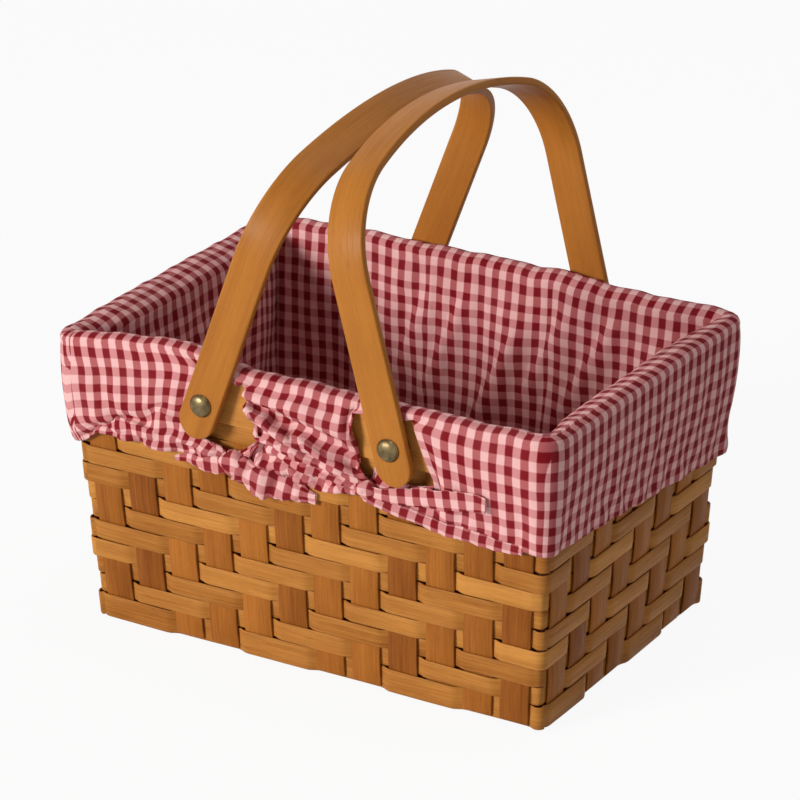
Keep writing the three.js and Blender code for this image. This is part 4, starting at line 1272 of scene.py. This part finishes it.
def tie_knot(cuff, front, place, radius, seed):
    """A pulled knot: a ball a little flattened against the wall, with soft ridges wound round it."""
    along, z = np.array(place)[:, None]
    face = cuff_face(cuff, along, z, front)[0]
    polar = np.linspace(0.05, np.pi - 0.05, KNOT_RINGS)[:, None]
    angle = np.linspace(0, 2 * np.pi, KNOT_SIDES, endpoint=False)[None]
    phase = np.random.default_rng(seed).uniform(0, 6, 3)
    ridge = np.abs(np.sin(1.5 * angle + 1.6 * np.cos(polar) + phase[0])) ** 0.7
    ridge = ridge + 0.35 * np.sin(4 * polar + 2 * angle + phase[1]) * np.sin(polar)
    size = radius * (0.84 + 0.2 * ridge)
    t = along[0] + 1.15 * size * np.cos(polar)
    up = z[0] + 0.95 * size * np.sin(polar) * np.cos(angle)
    deep = face - 0.25 * radius + 0.8 * size * np.sin(polar) * np.sin(angle)
    flat = t[..., None] * ALONG[front] + deep[..., None] * OUTWARD[front]
    points = np.concatenate([flat, up[..., None]], -1)
    quads, i, j = lattice(KNOT_RINGS, KNOT_SIDES, False, True)
    uv = np.stack([polar.ravel()[i] * radius, j * (2 * np.pi / KNOT_SIDES) * radius], -1) / MM
    first_ring = np.arange(KNOT_SIDES)
    ends = [first_ring[::-1], (KNOT_RINGS - 1) * KNOT_SIDES + first_ring]
    return points.reshape(-1, 3), quads, uv, ends


def tie_piece(name, cuff, front, kind, seed):
    """One tie: its knot and the strands that run from it, as one mesh of closed parts."""
    parts = [tie_knot(cuff, front, KNOTS[kind], KNOT_RADII[kind], seed)]
    for number, strand in enumerate(TIE_STRANDS[kind]):
        parts.append(tie_strand(cuff, front, *strand, seed + number + 1))
    first = np.cumsum([0] + [len(part[0]) for part in parts])
    points = np.concatenate([part[0] for part in parts]) / MM
    quads = np.concatenate([part[1] + start for part, start in zip(parts, first)])
    uv = np.concatenate([part[2] for part in parts])
    ends = [end + start for part, start in zip(parts, first) for end in part[3]]
    far_from_hem = np.full(len(points), 1.0)
    piece = make_piece(name, points, quads, uv, ends, attributes=[("hem", far_from_hem)])
    finer = piece.modifiers.new("smooth", "SUBSURF")
    finer.levels = finer.render_levels = 1
    return piece


# Finishes

def put(tree, kind, inputs=(), **settings):
    """A shader node with its settings, and its inputs linked or set by name or number."""
    node = tree.nodes.new(kind)
    for label, value in settings.items():
        setattr(node, label, value)
    for key, value in dict(inputs).items():
        if isinstance(value, bpy.types.NodeSocket):
            tree.links.new(value, node.inputs[key])
        else:
            node.inputs[key].default_value = value
    return node


def calc(tree, operation, *values):
    """The result of one sum on sockets or numbers."""
    return put(tree, "ShaderNodeMath", dict(enumerate(values)), operation=operation).outputs[0]


def vector_calc(tree, operation, first, second):
    """The result of one sum on two vectors."""
    return put(tree, "ShaderNodeVectorMath", {0: first, 1: second}, operation=operation).outputs[0]


def ranged(tree, value, low, high, start=0.0, end=1.0):
    """A value carried from the range low to high on to the range start to end, and held at its ends."""
    return put(tree, "ShaderNodeMapRange", {0: value, 1: low, 2: high, 3: start, 4: end}).outputs[0]


def clamped(tree, value):
    """A value held between 0 and 1."""
    return put(tree, "ShaderNodeClamp", {0: value}).outputs[0]


def mix(tree, share, first, second):
    """The mix of two colours."""
    return put(tree, "ShaderNodeMix", {0: share, 6: first, 7: second}, data_type="RGBA").outputs[2]


def noise(tree, place, scale, detail, rough=0.5):
    """The outputs of a noise texture at a place: a value and a colour."""
    inputs = {"Vector": place, "Scale": scale, "Detail": detail, "Roughness": rough}
    return put(tree, "ShaderNodeTexNoise", inputs).outputs


def rgba(colour):
    """A colour with full opacity."""
    return (*colour, 1.0)


def finish_group(name, vector, colours, values):
    """An empty shader group for a finish, with its tree, its inputs and its outputs by name.

    It takes a place, colours and values with their defaults, and gives colour, roughness and height.
    """
    tree = bpy.data.node_groups.new(name, "ShaderNodeTree")
    tree.interface.new_socket(vector, in_out="INPUT", socket_type="NodeSocketVector")
    for label in colours:
        tree.interface.new_socket(label, in_out="INPUT", socket_type="NodeSocketColor")
    for label, value in values.items():
        socket = tree.interface.new_socket(label, in_out="INPUT", socket_type="NodeSocketFloat")
        socket.default_value = value
    tree.interface.new_socket("Colour", in_out="OUTPUT", socket_type="NodeSocketColor")
    for label in ("Roughness", "Height"):
        tree.interface.new_socket(label, in_out="OUTPUT", socket_type="NodeSocketFloat")
    return tree, tree.nodes.new("NodeGroupInput").outputs, tree.nodes.new("NodeGroupOutput").inputs


def give(tree, result, colour, roughness, height):
    """Link a finish group's results to its outputs."""
    tree.links.new(colour, result["Colour"])
    tree.links.new(roughness, result["Roughness"])
    tree.links.new(height, result["Height"])


def grain_noise(tree, given, along, across, detail, rough=0.55):
    """Noise drawn out along the splint: its place in metres is scaled apart along and across the grain.

    The splint's tone moves it to a part of the noise of its own.
    """
    scaled = vector_calc(tree, "MULTIPLY", given["Flat"], (along, across, 0))
    shift = {axis: calc(tree, "MULTIPLY", given["Tone"], far) for axis, far in enumerate(TONE_SHIFTS)}
    shift = put(tree, "ShaderNodeCombineXYZ", shift).outputs[0]
    return noise(tree, vector_calc(tree, "ADD", scaled, shift), 1.0, detail, rough)[0]


def grain_group():
    """Wood grain: broad bands, fine streaks and short dark pores along the splint, shifted by its tone."""
    tree, given, result = finish_group(
        "Split wood grain", "Flat", ("Light", "Dark"), {"Tone": 0.0, "Streaks": 1.0, "Roughness": 0.45})
    band = ranged(tree, grain_noise(tree, given, 9.0, 130.0, 2.0), 0.3, 0.7)
    streak = ranged(tree, grain_noise(tree, given, 26.0, 900.0, 3.0, 0.65), 0.32, 0.68)
    pore = ranged(tree, grain_noise(tree, given, 120.0, 2600.0, 1.0), 0.62, 0.74)
    cloud = grain_noise(tree, given, 16.0, 24.0, 2.0)
    lean = calc(tree, "MULTIPLY_ADD", given["Tone"], 0.62, calc(tree, "MULTIPLY", cloud, 0.75))
    streaks = calc(tree, "MULTIPLY", streak, calc(tree, "MULTIPLY", given["Streaks"], 0.4))
    depth = calc(tree, "MULTIPLY_ADD", band, 0.35, streaks)
    share = clamped(tree, calc(tree, "SUBTRACT", calc(tree, "ADD", lean, depth), 0.57))
    base = mix(tree, share, given["Light"], given["Dark"])
    pores = calc(tree, "MULTIPLY", pore, calc(tree, "MULTIPLY", given["Streaks"], 0.5))
    colour = mix(tree, pores, base, vector_calc(tree, "MULTIPLY", base, PORE_SHADE))
    rough = calc(tree, "MULTIPLY_ADD", streak, 0.16, calc(tree, "SUBTRACT", given["Roughness"], 0.08))
    height = calc(tree, "SUBTRACT", calc(tree, "MULTIPLY", streak, 0.6), calc(tree, "MULTIPLY", pore, 0.8))
    give(tree, result, colour, rough, height)


def gingham_group():
    """Gingham: red and white stripes both ways, red on red dark and red on white half way, with its threads.

    Each thread lies over and under in turn. The hem is a turned edge with a line of stitching above it.
    """
    tree, given, result = finish_group(
        "Gingham", "Flat", ("Red", "Pink", "White"), {"Check": 0.0045, "Hem": 1.0})
    stray = vector_calc(tree, "SUBTRACT", noise(tree, given["Flat"], 90.0, 1.0)[1], (0.5, 0.5, 0.5))
    stray = vector_calc(tree, "MULTIPLY", stray, (THREAD_STRAY, THREAD_STRAY, THREAD_STRAY))
    parts = put(tree, "ShaderNodeSeparateXYZ", {0: vector_calc(tree, "ADD", given["Flat"], stray)}).outputs
    stripes, threads = [], []
    for axis in (0, 1):
        swing = calc(tree, "PINGPONG", calc(tree, "DIVIDE", parts[axis], given["Check"]), 1.0)
        stripes.append(ranged(tree, swing, 0.44, 0.56))
        threads.append(calc(tree, "SINE", calc(tree, "MULTIPLY", parts[axis], 2 * math.pi / THREAD_PITCH)))
    over = calc(tree, "MULTIPLY", threads[0], threads[1])
    top = ranged(tree, over, -0.6, 0.6, 0.52, 0.78)
    under = calc(tree, "SUBTRACT", 1.0, top)
    red = calc(tree, "MULTIPLY_ADD", stripes[0], top, calc(tree, "MULTIPLY", stripes[1], under))
    faded = noise(tree, given["Flat"], 38.0, 3.0)[0]
    worn = ranged(tree, faded, 0.3, 0.7, 0.9, 1.0)
    colour = given["White"]
    for low, high, shade in ((0.0, 0.5, "Pink"), (0.5, 1.0, "Red")):
        share = calc(tree, "MULTIPLY", ranged(tree, red, low, high), worn)
        colour = mix(tree, share, colour, given[shade])
    cloth = calc(tree, "MULTIPLY_ADD", calc(tree, "ABSOLUTE", over), 0.5, calc(tree, "MULTIPLY", faded, 0.6))
    turned = ranged(tree, given["Hem"], 0.0058, 0.0052, 0.0, 1.6)
    seam = calc(tree, "ABSOLUTE", calc(tree, "SUBTRACT", given["Hem"], STITCH_HEIGHT))
    stitch = ranged(tree, seam, 0.0002, 0.0006, -1.2, 0.0)
    height = calc(tree, "ADD", cloth, calc(tree, "ADD", turned, stitch))
    give(tree, result, colour, ranged(tree, over, -1.0, 1.0, 0.78, 0.92), height)


def tarnish_group():
    """Tarnish on metal: cloudy film and fine specks over rubbed brass."""
    tree, given, result = finish_group("Tarnish", "Place", ("Metal", "Film"), {})
    cloud = noise(tree, given["Place"], 320.0, 4.0)[0]
    speck = noise(tree, given["Place"], 1900.0, 2.0)[0]
    film = ranged(tree, cloud, 0.35, 0.68, 0.05, 0.85)
    share = clamped(tree, calc(tree, "ADD", ranged(tree, speck, 0.6, 0.72, 0.0, 0.3), film))
    rough = calc(tree, "MULTIPLY_ADD", share, 0.28, 0.24)
    give(tree, result, mix(tree, share, given["Metal"], given["Film"]), rough, cloud)


def new_material(name):
    """An empty node material: the material, its tree and its Principled shader."""
    material = bpy.data.materials.new(name)
    material.use_nodes = True
    tree = material.node_tree
    return material, tree, tree.nodes["Principled BSDF"]


def set_plain(shader, values):
    """Set a shader's plain values by name."""
    for label, value in values.items():
        shader.inputs[label].default_value = value


def apply_finish(tree, shader, finish, inputs, bump, distance):
    """Put a finish group into a material: its colour, roughness and bumps go to the shader."""
    group = put(tree, "ShaderNodeGroup", inputs, node_tree=bpy.data.node_groups[finish])
    bumps = put(tree, "ShaderNodeBump", {
        "Height": group.outputs["Height"], "Strength": bump, "Distance": distance})
    tree.links.new(group.outputs["Colour"], shader.inputs["Base Color"])
    tree.links.new(group.outputs["Roughness"], shader.inputs["Roughness"])
    tree.links.new(bumps.outputs[0], shader.inputs["Normal"])


def wood_material(name, light, dark, streaks, roughness, coat, on_uv=True):
    """Varnished wood with its grain along the piece's own UV map, or along the rim on Object coordinates."""
    _, tree, shader = new_material(name)
    inputs = {"Light": rgba(light), "Dark": rgba(dark), "Streaks": streaks, "Roughness": roughness}
    if on_uv:
        inputs["Flat"] = put(tree, "ShaderNodeUVMap", uv_map="flat").outputs[0]
        inputs["Tone"] = put(tree, "ShaderNodeAttribute", attribute_name="tone").outputs["Fac"]
    else:
        place = put(tree, "ShaderNodeTexCoord").outputs["Object"]
        parts = put(tree, "ShaderNodeSeparateXYZ", {0: place}).outputs
        along = calc(tree, "ADD", parts[0], parts[1])
        inputs["Flat"] = put(tree, "ShaderNodeCombineXYZ", {0: along, 1: parts[2]}).outputs[0]
    apply_finish(tree, shader, "Split wood grain", inputs, 0.35, 0.0002)
    set_plain(shader, {"Coat Weight": coat, "Coat Roughness": 0.25, "Specular IOR Level": 0.1})


def gingham_material(finish):
    """Soft cotton gingham on the piece's own flat cut."""
    _, tree, shader = new_material("Gingham cotton")
    apply_finish(tree, shader, "Gingham", {
        "Flat": put(tree, "ShaderNodeUVMap", uv_map="flat").outputs[0],
        "Hem": put(tree, "ShaderNodeAttribute", attribute_name="hem").outputs["Fac"],
        "Check": finish.check,
        "Red": rgba(finish.cloth_red),
        "Pink": rgba(finish.cloth_pink),
        "White": rgba(finish.cloth_white),
    }, 0.3, 0.00025)
    set_plain(shader, {"Sheen Weight": 0.03, "Sheen Roughness": 0.5, "Specular IOR Level": 0.1})


def brass_material(finish):
    """Aged brass of the rivets, spacers and washers."""
    _, tree, shader = new_material("Aged brass")
    apply_finish(tree, shader, "Tarnish", {
        "Place": put(tree, "ShaderNodeTexCoord").outputs["Object"],
        "Metal": rgba(finish.brass),
        "Film": rgba(finish.tarnish),
    }, 0.25, 0.0002)
    set_plain(shader, {"Metallic": 1.0})


def dress(node, material):
    """Give a CAD node that stays a finished material."""
    slots = frame["nodes"][node].data.materials
    slots.clear()
    slots.append(material)


# Stage

def seen_white(tree):
    """1 for the rays that show the surround itself: from the camera, off a gloss or through glass."""
    path = put(tree, "ShaderNodeLightPath").outputs
    mirrored = calc(tree, "MAXIMUM", path["Is Glossy Ray"], path["Is Transmission Ray"])
    return calc(tree, "MAXIMUM", path["Is Camera Ray"], mirrored)


def white_surround(scene):
    """A world that is white where it is seen and lights the object only faintly."""
    world = bpy.data.worlds.new("Studio")
    scene.world = world
    world.use_nodes = True
    tree = world.node_tree
    tree.nodes.clear()
    strength = ranged(tree, seen_white(tree), 0.0, 1.0, SURROUND_LIGHT, 1.0)
    shade = put(tree, "ShaderNodeBackground", {"Color": rgba(WHITE), "Strength": strength})
    put(tree, "ShaderNodeOutputWorld", {0: shade.outputs[0]})


def pale_floor(scene):
    """A wide floor that is nearly white where it is seen and keeps a faint shadow."""
    mesh = bpy.data.meshes.new("floor")
    corners = [(x * FLOOR_HALF, y * FLOOR_HALF, 0) for x, y in ((-1, -1), (1, -1), (1, 1), (-1, 1))]
    mesh.from_pydata(corners, [], [(0, 1, 2, 3)])
    floor = bpy.data.objects.new("floor", mesh)
    scene.collection.objects.link(floor)
    material, tree, shader = new_material("Pale floor")
    set_plain(shader, {"Base Color": (0.9, 0.9, 0.9, 1), "Roughness": 0.9, "Specular IOR Level": 0.0})
    glow = put(tree, "ShaderNodeEmission", {"Color": rgba(WHITE), "Strength": 1.0})
    share = calc(tree, "MULTIPLY", seen_white(tree), FLOOR_WHITE)
    blend = put(tree, "ShaderNodeMixShader", {0: share, 1: shader.outputs[0], 2: glow.outputs[0]})
    tree.links.new(blend.outputs[0], tree.nodes["Material Output"].inputs[0])
    mesh.materials.append(material)


def lamp(scene, name, place, aim, size, power, colour):
    """A square soft lamp at a place, turned to an aim point."""
    light = bpy.data.lights.new(name, "AREA")
    light.size = size
    light.energy = power
    light.color = colour
    holder = bpy.data.objects.new(name, light)
    scene.collection.objects.link(holder)
    holder.location = place
    holder.rotation_euler = (Vector(aim) - Vector(place)).to_track_quat("-Z", "Y").to_euler()


def photo_camera(scene):
    """The photograph's camera, set by its angles and distance from the point that it looks at."""
    camera = bpy.data.objects.new("camera", bpy.data.cameras.new("camera"))
    scene.collection.objects.link(camera)
    camera.data.lens = LENS
    camera.data.sensor_width = SENSOR
    camera.data.clip_end = 50
    level = math.cos(ELEVATION)
    back = Vector((math.sin(AZIMUTH) * level, -math.cos(AZIMUTH) * level, math.sin(ELEVATION)))
    camera.location = Vector(TARGET) + back * DISTANCE
    camera.rotation_euler = (-back).to_track_quat("-Z", "Y").to_euler()
    scene.camera = camera


# Steps

class BASKET_OT_finishes(bpy.types.Operator):
    """Mix the wood, cloth and brass finishes"""

    bl_idname = "basket.finishes"
    bl_label = "Mix finishes"

    def execute(self, context):
        finish = context.scene.basket_finishes
        grain_group()
        gingham_group()
        tarnish_group()
        wood_material("Stake splint", finish.stake_light, finish.stake_dark, 1.0, 0.55, 0.03)
        wood_material("Weaver splint", finish.weaver_light, finish.weaver_dark, 1.0, 0.55, 0.03)
        wood_material("Bentwood", finish.handle_light, finish.handle_dark, 0.7, 0.45, 0.03)
        wood_material("Rim wood", finish.weaver_light, finish.weaver_dark, 0.8, 0.5, 0.1, on_uv=False)
        gingham_material(finish)
        brass_material(finish)
        return {"FINISHED"}


class BASKET_OT_stage(bpy.types.Operator):
    """Set the floor, the lamps and the camera"""

    bl_idname = "basket.stage"
    bl_label = "Set stage"

    def execute(self, context):
        scene = context.scene
        scene.view_settings.view_transform = "Standard"
        white_surround(scene)
        pale_floor(scene)
        for values in LAMPS:
            lamp(scene, *values)
        photo_camera(scene)
        return {"FINISHED"}


class BASKET_OT_stakes(bpy.types.Operator):
    """Bend the long and cross stakes"""

    bl_idname = "basket.stakes"
    bl_label = "Bend stakes"

    def execute(self, context):
        sizes = context.scene.basket_splints
        material = bpy.data.materials["Stake splint"]
        for lengthwise in (True, False):
            for index in range(stake_count(lengthwise)):
                piece = stake_piece(lengthwise, index, sizes)
                settle(piece, material, "stake_splint", "basket", stake_node(lengthwise, index))
        return {"FINISHED"}


class BASKET_OT_weavers(bpy.types.Operator):
    """Weave the rows of splint round the walls"""

    bl_idname = "basket.weavers"
    bl_label = "Weave rows"

    def execute(self, context):
        sizes = context.scene.basket_splints
        material = bpy.data.materials["Weaver splint"]
        for row in range(ROWS):
            settle(weaver_piece(row, sizes), material, "weaver_splint", "basket", f"weaver_{row + 1:02d}")
        return {"FINISHED"}


class BASKET_OT_rim(bpy.types.Operator):
    """Finish the rim bands that clamp the stakes"""

    bl_idname = "basket.rim"
    bl_label = "Finish rim"

    def execute(self, context):
        for node in ("rim_outer_band", "rim_inner_band"):
            dress(node, bpy.data.materials["Rim wood"])
        return {"FINISHED"}


class BASKET_OT_handles(bpy.types.Operator):
    """Bend the two swinging handles"""

    bl_idname = "basket.handles"
    bl_label = "Bend handles"

    def execute(self, context):
        sizes = context.scene.basket_handles
        for side, node in HANDLES.items():
            piece = handle_piece(side, sizes)
            settle(piece, bpy.data.materials["Bentwood"], "handle_wood", f"{side}_handle", node)
        return {"FINISHED"}


class BASKET_OT_rivets(bpy.types.Operator):
    """Turn the rivets and finish their spacers and washers"""

    bl_idname = "basket.rivets"
    bl_label = "Set rivets"

    def execute(self, context):
        sizes = context.scene.basket_handles
        brass = bpy.data.materials["Aged brass"]
        for wall, direction in (("front", -1), ("back", 1)):
            for side, pivot in PIVOTS.items():
                node = f"rivet_{wall}_{side}"
                clench_end = min(abs(lowest(node)[1]), abs(highest(node)[1]))
                piece = turned_piece(node + "_turned", rivet_profile(sizes, clench_end), pivot, direction)
                settle(piece, brass, "aged_brass", "basket", node)
                dress(f"spacer_{wall}_{side}", brass)
                dress(f"burr_{wall}_{side}", brass)
        return {"FINISHED"}


class BASKET_OT_liner(bpy.types.Operator):
    """Hang the gingham liner, turn its cuff over the rim and tie it"""

    bl_idname = "basket.liner"
    bl_label = "Hang liner"

    def execute(self, context):
        sizes = context.scene.basket_liner
        cotton = bpy.data.materials["Gingham cotton"]
        cloth = hang_liner(sizes)
        bag = bag_piece(cloth, sizes)
        settle(bag, cotton, "gingham", "basket", "liner_bag")
        cuff = cuff_piece(cloth, sizes)
        flaps = [f"cuff_{end}" for end in ("front", "back", "left", "right")]
        settle(cuff, cotton, "gingham", "basket", *flaps)
        shown = cloth.grid[:, cloth.lip:][cloth.live[:, cloth.lip:] > 0]
        for node, (front, kind, seed) in TIES.items():
            tie = tie_piece(node + "_knot", shown, front, kind, seed)
            settle(tie, cotton, "gingham", "basket", node)
        return {"FINISHED"}


GROUPS = {
    "basket_splints": SplintSizes, "basket_handles": HandleSizes, "basket_liner": LinerSizes,
    "basket_finishes": Finishes,
}
STEPS = [
    BASKET_OT_finishes, BASKET_OT_stage, BASKET_OT_stakes, BASKET_OT_weavers, BASKET_OT_rim,
    BASKET_OT_handles, BASKET_OT_rivets, BASKET_OT_liner,
]


class BASKET_PT_panel(bpy.types.Panel):
    """Basket sizes, colours and steps"""

    bl_idname = "BASKET_PT_panel"
    bl_label = "Picnic basket"
    bl_space_type = "VIEW_3D"
    bl_region_type = "UI"
    bl_category = "Basket"

    def draw(self, context):
        for step in STEPS:
            self.layout.operator(step.bl_idname)
        for place, kind in GROUPS.items():
            for label in kind.__annotations__:
                self.layout.prop(getattr(context.scene, place), label)


def register():
    """Register the sizes, colours, steps and panel."""
    for label, group in GROUPS.items():
        bpy.utils.register_class(group)
        setattr(bpy.types.Scene, label, bpy.props.PointerProperty(type=group))
    for step in [*STEPS, BASKET_PT_panel]:
        bpy.utils.register_class(step)


def unregister():
    """Take away what register added."""
    for step in [*STEPS, BASKET_PT_panel]:
        bpy.utils.unregister_class(step)
    for label, group in GROUPS.items():
        delattr(bpy.types.Scene, label)
        bpy.utils.unregister_class(group)


def main():
    """Build the basket step by step."""
    register()
    bpy.ops.basket.finishes()
    bpy.ops.basket.stage()
    bpy.ops.basket.stakes()
    bpy.ops.basket.weavers()
    bpy.ops.basket.rim()
    bpy.ops.basket.handles()
    bpy.ops.basket.rivets()
    bpy.ops.basket.liner()


if __name__ == "__main__":
    main()
